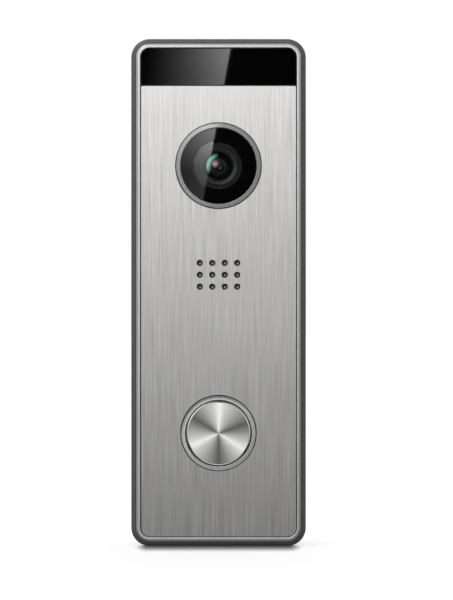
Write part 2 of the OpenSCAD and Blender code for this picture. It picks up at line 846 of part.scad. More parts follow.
module button_spring() {
    points = [for (i = [0:spring_steps], j = [0:spring_sides - 1]) spring_point(i, j)];
    walls = [for (i = [0:spring_steps - 1], j = [0:spring_sides - 1])
        let (k = (j + 1) % spring_sides)
        [i * spring_sides + j, i * spring_sides + k, (i + 1) * spring_sides + k,
            (i + 1) * spring_sides + j]];
    first = [for (j = [spring_sides - 1:-1:0]) j];
    last = [for (j = [0:spring_sides - 1]) spring_steps * spring_sides + j];
    color([0.7, 0.7, 0.72]) translate([0, 0, button_z]) at_depth(0)
        polyhedron(points, concat(walls, [first, last]));
}

module button_guide() {
    tube = guide_tube_d / 2;
    bore = stem_d / 2 + running;
    flange_back = guide_front - guide_flange_t;
    color([0.1, 0.1, 0.1]) difference() {
        turned([0, button_z]) polygon([
            [bore, guide_back], [guide_body_d / 2, guide_back], [guide_body_d / 2, flange_back],
            [guide_flange_d / 2, flange_back], [guide_flange_d / 2, guide_front],
            [guide_pocket_d / 2, guide_front], [guide_pocket_d / 2, guide_floor],
            [tube, guide_floor], [tube, guide_tube_front], [bore, guide_tube_front]]);
        for (p = guide_screws_at) rod(p, guide_back - 1, guide_front + 1, guide_screw_d + 0.2);
    }
}

module guide_seal() {
    color([0.05, 0.05, 0.05]) washer([0, button_z], guide_front, wall_back,
        guide_body_d + 1.4, max(guide_pocket_d, button_ring_id) + 0.6);
}

module guide_screws() {
    seat = guide_front - guide_flange_t;
    color([0.7, 0.7, 0.72]) for (p = guide_screws_at)
        pan_screw(p, seat, wall_back + 1.4 - seat, guide_screw_d, 3, 1);
}

module call_switch_body() {
    color([0.1, 0.1, 0.1]) difference() {
        block([0, button_z], switch_w, switch_w, board_front, switch_front);
        rod([0, button_z], switch_front - plunger_in - button_travel - 0.1, switch_front + 1,
            plunger_d + 2 * running);
    }
}

module call_switch_plunger() {
    color([0.8, 0.2, 0.15]) rod([0, button_z], switch_front - plunger_in,
        switch_front + plunger_out, plunger_d);
}

// ---------- Main board ----------

module main_board() {
    color([0.05, 0.32, 0.18]) difference() {
        block([0, (board_low + board_high) / 2], board_w, board_high - board_low, board_back,
            board_front);
        for (p = board_screws_at) rod(p, board_back - 1, board_front + 1, board_screw_d + 0.3);
    }
}

// The same small screw holds the main board, the camera board and the infrared board
module board_screws() {
    head_d = board_screw_d + 1.8;
    color([0.72, 0.72, 0.74]) {
        for (p = board_screws_at) pan_screw(p, board_back, board_t + 4, board_screw_d, head_d,
            screw_head_h);
        for (p = camera_screws) pan_screw(p, camera_board_back, camera_board_t + 4,
            board_screw_d, head_d, 0.5);
        for (p = ir_screws) pan_screw(p, ir_board_back, ir_board_t + 4, board_screw_d, head_d,
            screw_head_h);
    }
}

module main_chips() {
    beside = board_w / 2 - 6.5;
    color([0.07, 0.07, 0.08]) {
        block([-beside, board_low + 13], 8, 10, board_front, board_front + 1.2);
        block([beside, board_low + 12], 6, 5, board_front, board_front + 1.2);
        block([-2, button_z + 25], 11, 11, board_front, board_front + 1.4);
    }
}

module capacitors() {
    color([0.75, 0.75, 0.77]) for (p = capacitors_at)
        rod(p, board_front, board_front + capacitor_h, capacitor_d);
}

// Rows of small soldered parts
module surface_parts() {
    color([0.45, 0.36, 0.26]) {
        for (x = [-8:2.4:8]) block([x, board_low + 4], 1, 1.8, board_front, board_front + 0.6);
        for (x = [-8:2.4:8]) block([x, button_z + 16], 1, 1.8, board_front, board_front + 0.6);
        for (z = [-4:3:8], x = [-12.5, 12.5])
            block([x, button_z + z], 1.8, 1, board_front, board_front + 0.6);
    }
}

// ---------- Terminal header and adjusters, on the back of the main board ----------

module terminal_header() {
    color([0.93, 0.92, 0.88]) difference() {
        block([0, header_z], header_l, header_h, header_back, board_back);
        block([0, header_z], header_l - 2 * header_wall, header_h - 2 * header_wall,
            header_back - 1, board_back - header_floor);
    }
}

module terminal_pins() {
    color([0.8, 0.7, 0.4]) for (i = [0:header_ways - 1])
        block([(i - (header_ways - 1) / 2) * header_pitch, header_z], pin_w, pin_w,
            header_back + 1.2, board_back - header_floor);
}

module trimmer_body() {
    color([0.15, 0.25, 0.55]) difference() {
        rod([trimmer_x, trimmer_z], board_back - trimmer_t, board_back, trimmer_d);
        rod([trimmer_x, trimmer_z], board_back - trimmer_t - 1, board_back - 0.6,
            trimmer_rotor_d + 2 * running);
    }
}

module trimmer_rotor() {
    back = board_back - trimmer_t - 0.2;
    color([0.9, 0.88, 0.8]) difference() {
        rod([trimmer_x, trimmer_z], back, board_back - 0.7, trimmer_rotor_d);
        block([trimmer_x, trimmer_z], 0.6, 3, back - 1, back + 0.6);
    }
}

module format_switch_body() {
    color([0.6, 0.6, 0.62]) difference() {
        block([format_x, trimmer_z], format_w, format_h, board_back - format_t, board_back);
        block([format_x, trimmer_z], format_knob_w + format_travel + 0.4, format_knob_h + 0.2,
            board_back - format_t - 1, board_back - 0.5);
    }
}

module format_switch_knob() {
    color([0.05, 0.05, 0.05]) block([format_x - format_travel / 2, trimmer_z], format_knob_w,
        format_knob_h, board_back - format_t - 0.8, board_back - 0.6);
}

// ---------- Rear ----------

module rear_gasket() {
    color([0.04, 0.04, 0.04]) slab(cover_front, ledge_at) difference() {
        outline(wall_t + cover_clear);
        outline(cavity_inset - seated);
        for (p = cover_screws_at) translate(p) circle(d = cover_boss_d);
    }
}

module rear_cover() {
    color([0.16, 0.16, 0.17]) slab(cover_from_wall, cover_front) difference() {
        outline(wall_t + cover_clear);
        for (p = cover_screws_at) translate(p) circle(d = cover_screw_d + 0.4);
        translate([0, header_z]) square([header_l + 1.2, header_h + 1.2], center = true);
        translate([trimmer_x, trimmer_z]) circle(d = trimmer_rotor_d + 1);
        translate([format_x, trimmer_z])
            square([format_knob_w + format_travel + 1.6, format_knob_h + 1.6], center = true);
    }
}

module cover_screws() {
    color([0.72, 0.72, 0.74]) for (p = cover_screws_at)
        pan_screw(p, cover_from_wall, cover_t + gasket_t + 5.5, cover_screw_d, 4.6, 1.5);
}

module wall_bracket() {
    edge_r = corner_r - wall_t - bracket_clear;
    side = bracket_w / 2 - bracket_t;
    color([0.7, 0.7, 0.71]) difference() {
        union() {
            slab(0, bracket_t) rounded_rectangle(bracket_w, bracket_h, edge_r);
            // Stiffening flanges along both sides
            for (x = [-1, 1]) block([x * (side + bracket_t / 2), 0], bracket_t, bracket_h - 24,
                0, bracket_flange_to);
            // Top flange with the two hooks that the housing hangs on
            block([0, bracket_h / 2 - bracket_t / 2], hook_flange_w, bracket_t, 0,
                hook_back + hook_t);
            for (x = [-hook_x, hook_x]) block([x, bracket_h / 2], hook_w,
                2 * (bracket_clear + hook_reach), hook_back, hook_back + hook_t);
            // Bottom flange that the locking screw is driven into
            block([0, -bracket_h / 2 + bracket_t / 2], lock_flange_w, bracket_t, 0,
                cover_from_wall - loose);
        }
        for (z = [-1, 1]) rod([0, z * wall_screw_spacing / 2], -1, bracket_t + 1,
            wall_screw_hole_d);
        slab(-1, bracket_t + 1) translate([0, header_z])
            rounded_rectangle(cable_window_w, cable_window_h, 2);
        translate([0, -lock_at, -body_h / 2]) cylinder(d = lock_screw_d + 2 * running, h = 8);
    }
}

// A countersunk screw with a six-sided socket, driven up through the bottom wall
module lock_screw() {
    low = -body_h / 2 + lock_sink;
    color([0.72, 0.72, 0.74]) translate([0, -lock_at, low]) difference() {
        union() {
            cylinder(d1 = lock_head_d, d2 = lock_screw_d, h = lock_head_h);
            cylinder(d = lock_screw_d, h = lock_screw_l);
        }
        translate([0, 0, -1]) cylinder(d = lock_screw_d * 0.7, h = 2, $fn = 6);
    }
}

housing();
trim_frame();
front_plate();
plate_adhesive();
ir_window();
window_adhesive();
camera_ring();
camera_glass();
camera_glass_seal();
light_shield();
lens_barrel();
lens_retainer();
lens_front_element();
lens_rear_element();
lens_holder();
infrared_filter();
image_sensor();
camera_board();
camera_chips();
ir_board();
ir_leds();
light_sensor();
ir_wires();
ribbon_connectors();
camera_ribbon();
grille_mesh();
speaker_gasket();
speaker_frame();
speaker_cone();
speaker_magnet();
speaker_leads();
microphone();
microphone_boot();
button_ring();
button_cap();
button_stem();
button_clip();
button_spring();
button_guide();
guide_seal();
guide_screws();
call_switch_body();
call_switch_plunger();
main_board();
board_screws();
main_chips();
capacitors();
surface_parts();
terminal_header();
terminal_pins();
trimmer_body();
trimmer_rotor();
format_switch_body();
format_switch_knob();
rear_gasket();
rear_cover();
cover_screws();
wall_bracket();
lock_screw();
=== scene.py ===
"""Visual model of a slim door intercom panel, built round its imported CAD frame.

Lengths in this script are millimetres until a mesh is made. A place is given by x to the right,
z up and a depth from the wall towards the visitor, so a depth d lies at y = -d.
"""

from __future__ import annotations

import json
import logging
import math
from dataclasses import dataclass, field
from enum import Enum
from typing import Any, Iterable, Sequence, Union

import bmesh
import bpy
import numpy as np
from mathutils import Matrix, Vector
from mathutils.geometry import delaunay_2d_cdt
from numpy.typing import NDArray


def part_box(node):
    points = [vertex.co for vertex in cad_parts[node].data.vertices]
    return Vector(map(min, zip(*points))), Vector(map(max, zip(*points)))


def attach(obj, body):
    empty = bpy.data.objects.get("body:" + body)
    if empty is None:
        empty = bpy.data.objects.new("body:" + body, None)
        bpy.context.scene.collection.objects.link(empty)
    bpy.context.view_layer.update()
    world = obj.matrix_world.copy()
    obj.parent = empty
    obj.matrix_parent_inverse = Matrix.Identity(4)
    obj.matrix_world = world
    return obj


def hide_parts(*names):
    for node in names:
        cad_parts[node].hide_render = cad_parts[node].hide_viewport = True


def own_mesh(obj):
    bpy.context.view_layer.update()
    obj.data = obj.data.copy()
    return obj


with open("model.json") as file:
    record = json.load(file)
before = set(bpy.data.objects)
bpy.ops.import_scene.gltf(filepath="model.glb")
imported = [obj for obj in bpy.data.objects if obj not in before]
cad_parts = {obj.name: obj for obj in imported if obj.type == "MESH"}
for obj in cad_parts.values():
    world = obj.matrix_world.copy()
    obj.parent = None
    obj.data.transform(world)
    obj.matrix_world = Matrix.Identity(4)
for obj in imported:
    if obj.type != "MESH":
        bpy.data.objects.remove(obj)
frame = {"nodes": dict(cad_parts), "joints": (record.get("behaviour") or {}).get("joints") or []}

Array = NDArray[np.float64]
Colour = tuple[float, float, float]
Input = Union["Value", float]

MM = 0.001
log = logging.getLogger("intercom")

# A guard point stands this far from its arc at most, and this share of the arc's radius.
GUARD = 0.06
GUARD_SHARE = 0.2
# Width of the strip between a plate's rounded edge and its flat triangles.
EDGE_STRIP = 0.08
# Points that are closer than this, in metres, become one.
MERGE_DISTANCE = 2e-6


# ---------------------------------------------------------------- places in the frame


@dataclass(frozen=True)
class Extent:
    """A box in millimetres: x from left to right, z from low to high, depth from back to front."""

    left: float
    right: float
    low: float
    high: float
    back: float
    front: float

    @property
    def x(self) -> float:
        """Middle of the box, left to right."""
        return (self.left + self.right) / 2

    @property
    def z(self) -> float:
        """Middle of the box, low to high."""
        return (self.low + self.high) / 2

    @property
    def width(self) -> float:
        """Size from left to right."""
        return self.right - self.left

    @property
    def height(self) -> float:
        """Size from low to high."""
        return self.high - self.low

    @property
    def centre(self) -> tuple[float, float]:
        """Middle of the box in the front view."""
        return self.x, self.z


def extent_of(low: Sequence[float], high: Sequence[float]) -> Extent:
    """Turns two corners in metres into an Extent.

    Args:
        low: lowest corner.
        high: highest corner.

    Returns:
        The box in millimetres.
    """
    a, b = np.array(low) / MM, np.array(high) / MM
    return Extent(a[0], b[0], a[2], b[2], -b[1], -a[1])


def node(name: str) -> Extent:
    """The box of a CAD node at rest."""
    return extent_of(*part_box(name))


def solids(name: str) -> list[Extent]:
    """The boxes of the separate solids in one CAD node.

    A copy of the node's triangles is merged, and its connected groups are walked one by one.

    Args:
        name: the CAD node.

    Returns:
        One box for each solid.
    """
    mesh = bmesh.new()
    mesh.from_mesh(frame["nodes"][name].data)
    bmesh.ops.remove_doubles(mesh, verts=mesh.verts, dist=1e-6)
    left, found = set(mesh.verts), []
    while left:
        group, edge = set(), [left.pop()]
        while edge:
            vertex = edge.pop()
            group.add(vertex)
            near = {e.other_vert(vertex) for e in vertex.link_edges} & left
            left -= near
            edge.extend(near)
        places = np.array([v.co[:] for v in group])
        found.append(extent_of(places.min(0), places.max(0)))
    mesh.free()
    return sorted(found, key=lambda e: (round(e.z), round(e.x)))


# ---------------------------------------------------------------- surfaces


@dataclass
class Surface:
    """Points in millimetres as (x, depth, z), and faces as rows of point numbers."""

    points: Array
    faces: list[list[int]]

    def __add__(self, other: Surface) -> Surface:
        """Both surfaces in one."""
        shift = len(self.points)
        moved = [[i + shift for i in f] for f in other.faces]
        return Surface(np.vstack([self.points, other.points]), self.faces + moved)


def joined(surfaces: Iterable[Surface]) -> Surface:
    """All the surfaces in one."""
    total: Surface | None = None
    for surface in surfaces:
        total = surface if total is None else total + surface
    assert total is not None
    return total


def grid(points: Array, round_rows: bool, round_columns: bool) -> Surface:
    """A surface of quads through a grid of points.

    Args:
        points: array of rows by columns by 3.
        round_rows: whether the last row joins the first.
        round_columns: whether the last column joins the first.

    Returns:
        The surface.
    """
    rows, columns = points.shape[:2]
    number = np.arange(rows * columns).reshape(rows, columns)
    if round_rows:
        number = np.vstack([number, number[:1]])
    if round_columns:
        number = np.hstack([number, number[:, :1]])
    a, b, c, d = number[:-1, :-1], number[1:, :-1], number[1:, 1:], number[:-1, 1:]
    quads = np.stack([a, b, c, d], axis=-1).reshape(-1, 4)
    return Surface(points.reshape(-1, 3), quads.tolist())


def section(
    corners: Sequence[tuple[float, float, float]], closed: bool = True, steps: int = 5
) -> Array:
    """An outline with its corners rounded.

    A corner of radius r becomes an arc that touches both its sides, at r over the tangent of half
    the corner's angle from the corner. A guard point just outside each end of the arc keeps the
    flat sides flat when the piece is shaded smooth.

    Args:
        corners: (across, depth, radius) of each corner in order.
        closed: whether the last corner joins the first.
        steps: spans in each arc.

    Returns:
        The outline's points, as rows of (across, depth).
    """
    places = [np.array(c[:2], float) for c in corners]
    out: list[Array] = []
    last = len(corners) - 1
    for i, (here, radius) in enumerate(zip(places, (c[2] for c in corners))):
        if radius <= 0 or (not closed and i in (0, last)):
            out.append(here)
            continue
        to_a = places[i - 1] - here
        to_b = places[(i + 1) % len(places)] - here
        a, b = to_a / np.linalg.norm(to_a), to_b / np.linalg.norm(to_b)
        half = math.acos(float(np.clip(a @ b, -1, 1))) / 2
        reach = radius / math.tan(half)
        middle = here + (a + b) / np.linalg.norm(a + b) * radius / math.sin(half)
        start, end = here + a * reach, here + b * reach
        turn = np.linspace(0, 1, steps + 1)[:, None]
        sweep = math.pi - 2 * half
        u = (start - middle) / radius
        v = (end - middle) / radius
        v = (v - u * math.cos(sweep)) / math.sin(sweep)
        arc = middle + radius * (np.cos(turn * sweep) * u + np.sin(turn * sweep) * v)
        guard = min(GUARD, GUARD_SHARE * radius)
        out.extend([start + a * guard, *arc, end + b * guard])
    return np.array(out)


def disc(
    radius: float, back: float, front: float, back_round: float, front_round: float, steps: int = 5
) -> Array:
    """The open outline of a solid disc, from the axis at its back to the axis at its front.

    Args:
        radius: the disc's radius.
        back: depth of its back face.
        front: depth of its front face.
        back_round: rounding of its back edge.
        front_round: rounding of its front edge.
        steps: spans in each rounding.

    Returns:
        Rows of (radius, depth).
    """
    rear, face = (radius, back, back_round), (radius, front, front_round)
    return section([(0, back, 0), rear, face, (0, front, 0)], False, steps)


def turned(
    outline: Array, centre: tuple[float, float], closed: bool = True, steps: int = 128
) -> Surface:
    """An outline of (radius, depth) turned round an axis along the depth.

    The point at angle t is (x + r cos t, depth, z + r sin t).

    Args:
        outline: rows of (radius, depth).
        centre: the axis in the front view.
        closed: False for a solid whose outline begins and ends on the axis.
        steps: spans round the circle.

    Returns:
        The surface.
    """
    t = np.linspace(0, 2 * math.pi, steps, endpoint=False)[:, None]
    r, d = outline[None, :, 0], outline[None, :, 1]
    x = centre[0] + r * np.cos(t)
    z = centre[1] + r * np.sin(t)
    return grid(np.stack([x, np.broadcast_to(d, x.shape), z], axis=-1), True, closed)


@dataclass(frozen=True)
class RoundedLoop:
    """A rectangle whose radii are for its upper right, upper left, lower left and lower right."""

    left: float
    right: float
    low: float
    high: float
    radii: tuple[float, float, float, float]
    hole: bool = False
    steps: int = 12

    def points(self, inset: float) -> Array:
        """The loop moved into the material.

        Each corner is its centre plus (radius - inset) times the unit vector at each angle of its
        quarter turn. A hole's loop moves outwards.

        Args:
            inset: how far the loop moves.

        Returns:
            Rows of (x, z).
        """
        move = -inset if self.hole else inset
        t = np.linspace(0, math.pi / 2, self.steps + 1)
        runs = []
        signs = ((1, 1), (-1, 1), (-1, -1), (1, -1))
        for turn, ((sx, sz), r) in enumerate(zip(signs, self.radii)):
            angle = t + turn * math.pi / 2
            cx = (self.right if sx > 0 else self.left) - sx * r
            cz = (self.high if sz > 0 else self.low) - sz * r
            reach = r - move
            runs.append(np.stack([cx + reach * np.cos(angle), cz + reach * np.sin(angle)], axis=1))
        return np.vstack(runs)


@dataclass(frozen=True)
class RoundHole:
    """A circle, as a hole or, with hole False, as an outer edge."""

    centre: tuple[float, float]
    radius: float
    hole: bool = True
    steps: int = 96

    def points(self, inset: float) -> Array:
        """The circle moved into the material by inset, as rows of (x, z)."""
        t = np.linspace(0, 2 * math.pi, self.steps, endpoint=False)
        r = self.radius + (inset if self.hole else -inset)
        return np.stack([self.centre[0] + r * np.cos(t), self.centre[1] + r * np.sin(t)], axis=1)


@dataclass(frozen=True)
class StarHole:
    """A cross or hexagon for a driver: a polygon with corners at the given radii and angles."""

    centre: tuple[float, float]
    radii: tuple[float, ...]
    angles: tuple[float, ...]

    def points(self, inset: float) -> Array:
        """The polygon with every corner moved outwards by inset, as rows of (x, z)."""
        r, t = np.array(self.radii) + inset, np.radians(self.angles)
        return np.stack([self.centre[0] + r * np.cos(t), self.centre[1] + r * np.sin(t)], axis=1)


Loop = Union[RoundedLoop, RoundHole, StarHole]


def box_loop(box: Extent, radius: float, inset: float = 0.0, steps: int = 12) -> RoundedLoop:
    """The front view of a box, moved in by an inset, with the same radius at all four corners."""
    left, right = box.left + inset, box.right - inset
    low, high = box.low + inset, box.high - inset
    return RoundedLoop(left, right, low, high, (radius,) * 4, steps=steps)


def cross_hole(centre: tuple[float, float], length: float, width: float) -> StarHole:
    """A four-armed driver recess of the given arm length and arm width."""
    tip = math.degrees(math.atan2(width / 2, length))
    reach = math.hypot(length, width / 2)
    inner = width / 2 * math.sqrt(2)
    angles = tuple(q * 90 + a for q in range(4) for a in (-tip, tip, 45))
    return StarHole(centre, (reach, reach, inner) * 4, angles)


def rings(loop: Loop, outline: Array, closed: bool = False) -> Surface:
    """Carries an outline of (inset, depth), open or closed, round a loop."""
    rows = [np.insert(loop.points(inset), 1, depth, axis=1) for inset, depth in outline]
    return grid(np.stack(rows), closed, True)


def inside(places: Array, polygon: Array) -> NDArray[np.bool_]:
    """Tells which places lie inside a polygon.

    A place is inside if a ray from it to the right crosses the polygon's sides an odd number of
    times. A side is crossed if its ends lie on different sides of the ray's height and the
    crossing lies to the right of the place.

    Args:
        places: rows of (x, z).
        polygon: its corners in order.

    Returns:
        One flag for each place.
    """
    x, z = places[:, :1], places[:, 1:]
    x0, z0 = polygon.T
    x1, z1 = np.roll(polygon, -1, axis=0).T
    spans = (z0 > z) != (z1 > z)
    rise = np.where(z1 == z0, 1e-12, z1 - z0)
    crossed = spans & (x < x0 + (z - z0) / rise * (x1 - x0))
    return crossed.sum(axis=1) % 2 == 1


def flat(loops: Sequence[Loop], inset: float, depth: float) -> Surface:
    """A flat face between an outer loop and its holes, in triangles that use the loops' points.

    Args:
        loops: the outer loop, then the holes.
        inset: how far the loops are moved into the material.
        depth: where the face lies.

    Returns:
        The surface.
    """
    runs = [loop.points(inset) for loop in loops]
    starts = np.cumsum([0] + [len(r) for r in runs])
    places = [Vector(p) for p in np.vstack(runs)]
    edges = [
        (int(start + i), int(start + (i + 1) % len(run)))
        for start, run in zip(starts, runs)
        for i in range(len(run))
    ]
    verts, _, faces, *_ = delaunay_2d_cdt(places, edges, [], 1, 1e-6)
    corners = np.array([v[:] for v in verts])
    triangles = np.array([f[:] for f in faces])
    middles = corners[triangles].mean(axis=1)
    solid = np.ones(len(middles), bool)
    for hole in runs[1:]:
        solid &= ~inside(middles, hole)
    return Surface(np.insert(corners, 1, depth, axis=1), triangles[solid].tolist())


def plate(
    outer: Loop,
    holes: Sequence[Loop],
    back: float,
    front: float,
    bevel: float,
    back_bevel: float | None = None,
) -> Surface:
    """A flat plate with holes, whose edges are all rounded.

    Args:
        outer: the plate's edge.
        holes: its holes.
        back: depth of the back face.
        front: depth of the front face.
        bevel: rounding of the front edges.
        back_bevel: rounding of the back edges, or None for the same.

    Returns:
        The closed surface.
    """
    rear = bevel if back_bevel is None else back_bevel
    deep = max(bevel, rear) + EDGE_STRIP
    corners = [(deep, back, 0), (0, back, rear), (0, front, bevel), (deep, front, 0)]
    outline = section(corners, False, 4)
    loops = [outer, *holes]
    walls = [rings(loop, outline) for loop in loops]
    return joined([*walls, flat(loops, deep, back), flat(loops, deep, front)])


def block(box: Extent, bevel: float) -> Surface:
    """A box with all its upright edges and its front and back edges rounded."""
    return plate(box_loop(box, bevel + 0.1, steps=4), [], box.back, box.front, bevel)


def coil(
    centre: tuple[float, float],
    radius: float,
    wire: float,
    back: float,
    front: float,
    turns: float,
    closed_turns: float = 0.7,
) -> Surface:
    """A helical spring with closed ground ends, along the depth.

    The wire's centre at share s of its length is at angle 2 pi s turns and at a depth that eases
    in and out at both ends. Round it runs a circle of the wire's radius.

    Args:
        centre: the axis in the front view.
        radius: from the axis to the wire's centre.
        wire: the wire's diameter.
        back: depth where the spring begins.
        front: depth where it ends.
        turns: number of turns, with the closed ones.
        closed_turns: how many of them lie flat at each end.

    Returns:
        The surface.
    """
    s = np.linspace(0, 1, int(turns * 40))[:, None]
    around = np.linspace(0, 2 * math.pi, 12, endpoint=False)[None, :]
    ease = np.clip((s * turns - closed_turns) / (turns - 2 * closed_turns), 0, 1)
    reach = radius + wire / 2 * np.cos(around)
    angle = 2 * math.pi * turns * s
    x = centre[0] + reach * np.cos(angle)
    z = centre[1] + reach * np.sin(angle)
    depth = back + wire / 2 + (front - back - wire) * ease + wire / 2 * np.sin(around)
    tube = grid(np.stack([x, depth, z], axis=-1), False, True)
    n, m = x.shape
    ends = [list(range(m)), list(range((n - 1) * m, n * m))]
    return Surface(tube.points, tube.faces + ends)


# ---------------------------------------------------------------- shader nodes


class Value:
    """A number that comes out of a shader node, with Python's operators as Math nodes."""

    def __init__(self, tree: ShaderTree, socket: bpy.types.NodeSocket) -> None:
        """Wraps a socket of a tree."""
        self.tree = tree
        self.socket = socket

    def math(self, operation: str, *values: Input) -> Value:
        """A Math node on the given values."""
        return self.tree.math(operation, *values)

    def __add__(self, other: Input) -> Value:
        """Sum."""
        return self.math("ADD", self, other)

    def __sub__(self, other: Input) -> Value:
        """Difference."""
        return self.math("SUBTRACT", self, other)

    def __rsub__(self, other: Input) -> Value:
        """Difference, the other way round."""
        return self.math("SUBTRACT", other, self)

    def __mul__(self, other: Input) -> Value:
        """Product."""
        return self.math("MULTIPLY", self, other)

    def __truediv__(self, other: Input) -> Value:
        """Quotient."""
        return self.math("DIVIDE", self, other)

    def __pow__(self, other: Input) -> Value:
        """Power."""
        return self.math("POWER", self, other)

    __radd__ = __add__
    __rmul__ = __mul__

    def step(self, low: float, high: float, start: float = 0.0, end: float = 1.0) -> Value:
        """Eases from start to end as this value goes from low to high."""
        settings = {"interpolation_type": "SMOOTHSTEP"}
        sockets = {"Value": self, "From Min": low, "From Max": high, "To Min": start, "To Max": end}
        return Value(self.tree, self.tree.node("ShaderNodeMapRange", settings, sockets).outputs[0])


class ShaderTree:
    """The nodes of one material, world or emitting card."""

    def __init__(self, owner: Any) -> None:
        """Clears the owner's nodes and keeps its tree."""
        owner.use_nodes = True
        self.tree = owner.node_tree
        self.tree.nodes.clear()

    def node(self, kind: str, settings: dict[str, Any], sockets: dict[Any, Any]) -> bpy.types.Node:
        """Makes any node.

        Args:
            kind: the node's type.
            settings: its own properties. "stops" gives a ramp its (place, colour) pairs.
            sockets: what each input is set to or linked from.

        Returns:
            The node.
        """
        made = self.tree.nodes.new(kind)
        for name, setting in settings.items():
            if name == "stops":
                self._set_stops(made.color_ramp, setting)
            else:
                setattr(made, name, setting)
        for name, source in sockets.items():
            self._feed(made.inputs[name], source)
        return made

    @staticmethod
    def _set_stops(ramp: bpy.types.ColorRamp, stops: Sequence[tuple[float, Colour]]) -> None:
        """Gives a ramp its stops."""
        while len(ramp.elements) < len(stops):
            ramp.elements.new(1.0)
        for element, (place, colour) in zip(ramp.elements, stops):
            element.position = place
            element.color = (*colour, 1)

    def _feed(self, socket: bpy.types.NodeSocket, source: Any) -> None:
        """Links a socket or sets its value."""
        if isinstance(source, Value):
            source = source.socket
        if isinstance(source, bpy.types.NodeSocket):
            self.tree.links.new(source, socket)
        elif isinstance(source, tuple) and len(source) == 3 and socket.type == "RGBA":
            socket.default_value = (*source, 1)
        else:
            socket.default_value = source

    def math(self, operation: str, *values: Input) -> Value:
        """A Math node on one, two or three values."""
        made = self.node("ShaderNodeMath", {"operation": operation}, dict(enumerate(values)))
        return Value(self, made.outputs[0])

    def place(self) -> tuple[Value, Value, Value]:
        """Object coordinates in millimetres: x, depth and z."""
        source = self.node("ShaderNodeTexCoord", {}, {}).outputs["Object"]
        parts = self.node("ShaderNodeSeparateXYZ", {}, {0: source}).outputs
        x, y, z = (Value(self, parts[i]) for i in range(3))
        return x * (1 / MM), y * (-1 / MM), z * (1 / MM)

    def spot(self) -> bpy.types.NodeSocket:
        """Object coordinates in millimetres as one vector."""
        return self.vector(*self.place())

    def from_axis(self, centre: tuple[float, float]) -> tuple[Value, Value]:
        """How far right of and above an axis along the depth a point lies."""
        x, _, z = self.place()
        return x - centre[0], z - centre[1]

    def length(self, across: Value, up: Value) -> Value:
        """The distance made by two distances at right angles."""
        return self.math("SQRT", across * across + up * up)

    def vector(self, x: Input, y: Input, z: Input) -> bpy.types.NodeSocket:
        """Three numbers as one vector."""
        return self.node("ShaderNodeCombineXYZ", {}, {0: x, 1: y, 2: z}).outputs[0]

    def noise(self, at: bpy.types.NodeSocket, scale: float, detail: float) -> Value:
        """Noise from about 0 to 1 at a vector."""
        sockets = {"Vector": at, "Scale": scale, "Detail": detail}
        return Value(self, self.node("ShaderNodeTexNoise", {}, sockets).outputs[0])

    def cells(self, at: bpy.types.NodeSocket, scale: float) -> bpy.types.Node:
        """A scattered pattern of cells, with the distance to each one's middle and its colour."""
        return self.node("ShaderNodeTexVoronoi", {}, {"Vector": at, "Scale": scale})

    def first(self, colour: bpy.types.NodeSocket) -> Value:
        """The first channel of a colour, as a number."""
        return Value(self, self.node("ShaderNodeSeparateColor", {}, {0: colour}).outputs[0])

    def mix(
        self, factor: Input, first: Any, second: Any, blend: str = "MIX"
    ) -> bpy.types.NodeSocket:
        """Mixes two colours."""
        settings = {"data_type": "RGBA", "blend_type": blend}
        return self.node("ShaderNodeMix", settings, {0: factor, 6: first, 7: second}).outputs[2]

    def shade(self, factor: Input, colour: Any) -> bpy.types.NodeSocket:
        """A colour times a number."""
        sockets = {0: colour, "Scale": factor}
        return self.node("ShaderNodeVectorMath", {"operation": "SCALE"}, sockets).outputs[0]

    def bump(self, height: Value, distance: float) -> bpy.types.NodeSocket:
        """A Bump node for a height from 0 to 1 that stands for a distance in millimetres."""
        sockets = {"Height": height, "Distance": distance * MM, "Strength": 1.0}
        return self.node("ShaderNodeBump", {}, sockets).outputs[0]

    def surface(self, **sockets: Any) -> None:
        """Ends the tree in a Principled shader. An underscore stands for a space in a name."""
        named = {name.replace("_", " "): value for name, value in sockets.items()}
        shader = self.node("ShaderNodeBsdfPrincipled", {}, named)
        self.node("ShaderNodeOutputMaterial", {}, {"Surface": shader.outputs[0]})


# ---------------------------------------------------------------- finishes


def uneven(middle: float, spread: float, noise: Value) -> Value:
    """A number that swings about its middle, by a spread in all, as a noise goes from 0 to 1."""
    return middle - spread / 2 + spread * noise


@dataclass(frozen=True)
class Finish:
    """A finish that one material carries out."""

    name: str

    def material(self) -> bpy.types.Material:
        """The material, made the first time it is asked for."""
        name = f"finish_{self.name}"
        found = bpy.data.materials.get(name)
        if found is None:
            found = bpy.data.materials.new(name)
            self.build(ShaderTree(found))
        return found

    def build(self, tree: ShaderTree) -> None:
        """Makes the material's nodes."""
        raise NotImplementedError


@dataclass(frozen=True)
class Moulded(Finish):
    """Moulded plastic or rubber with a fine grain and slightly uneven gloss."""

    colour: Colour
    roughness: float = 0.5
    grain: float = 0.01
    grain_scale: float = 3.0

    def build(self, tree: ShaderTree) -> None:
        """Grain as bump, and a slow change of tone and gloss."""
        at = tree.spot()
        fine = tree.noise(at, self.grain_scale, 4)
        slow = tree.noise(at, 0.08, 2)
        tree.surface(
            Base_Color=tree.shade(uneven(1, 0.2, slow), self.colour),
            Roughness=uneven(self.roughness, 0.1, fine),
            Normal=tree.bump(fine, self.grain),
        )


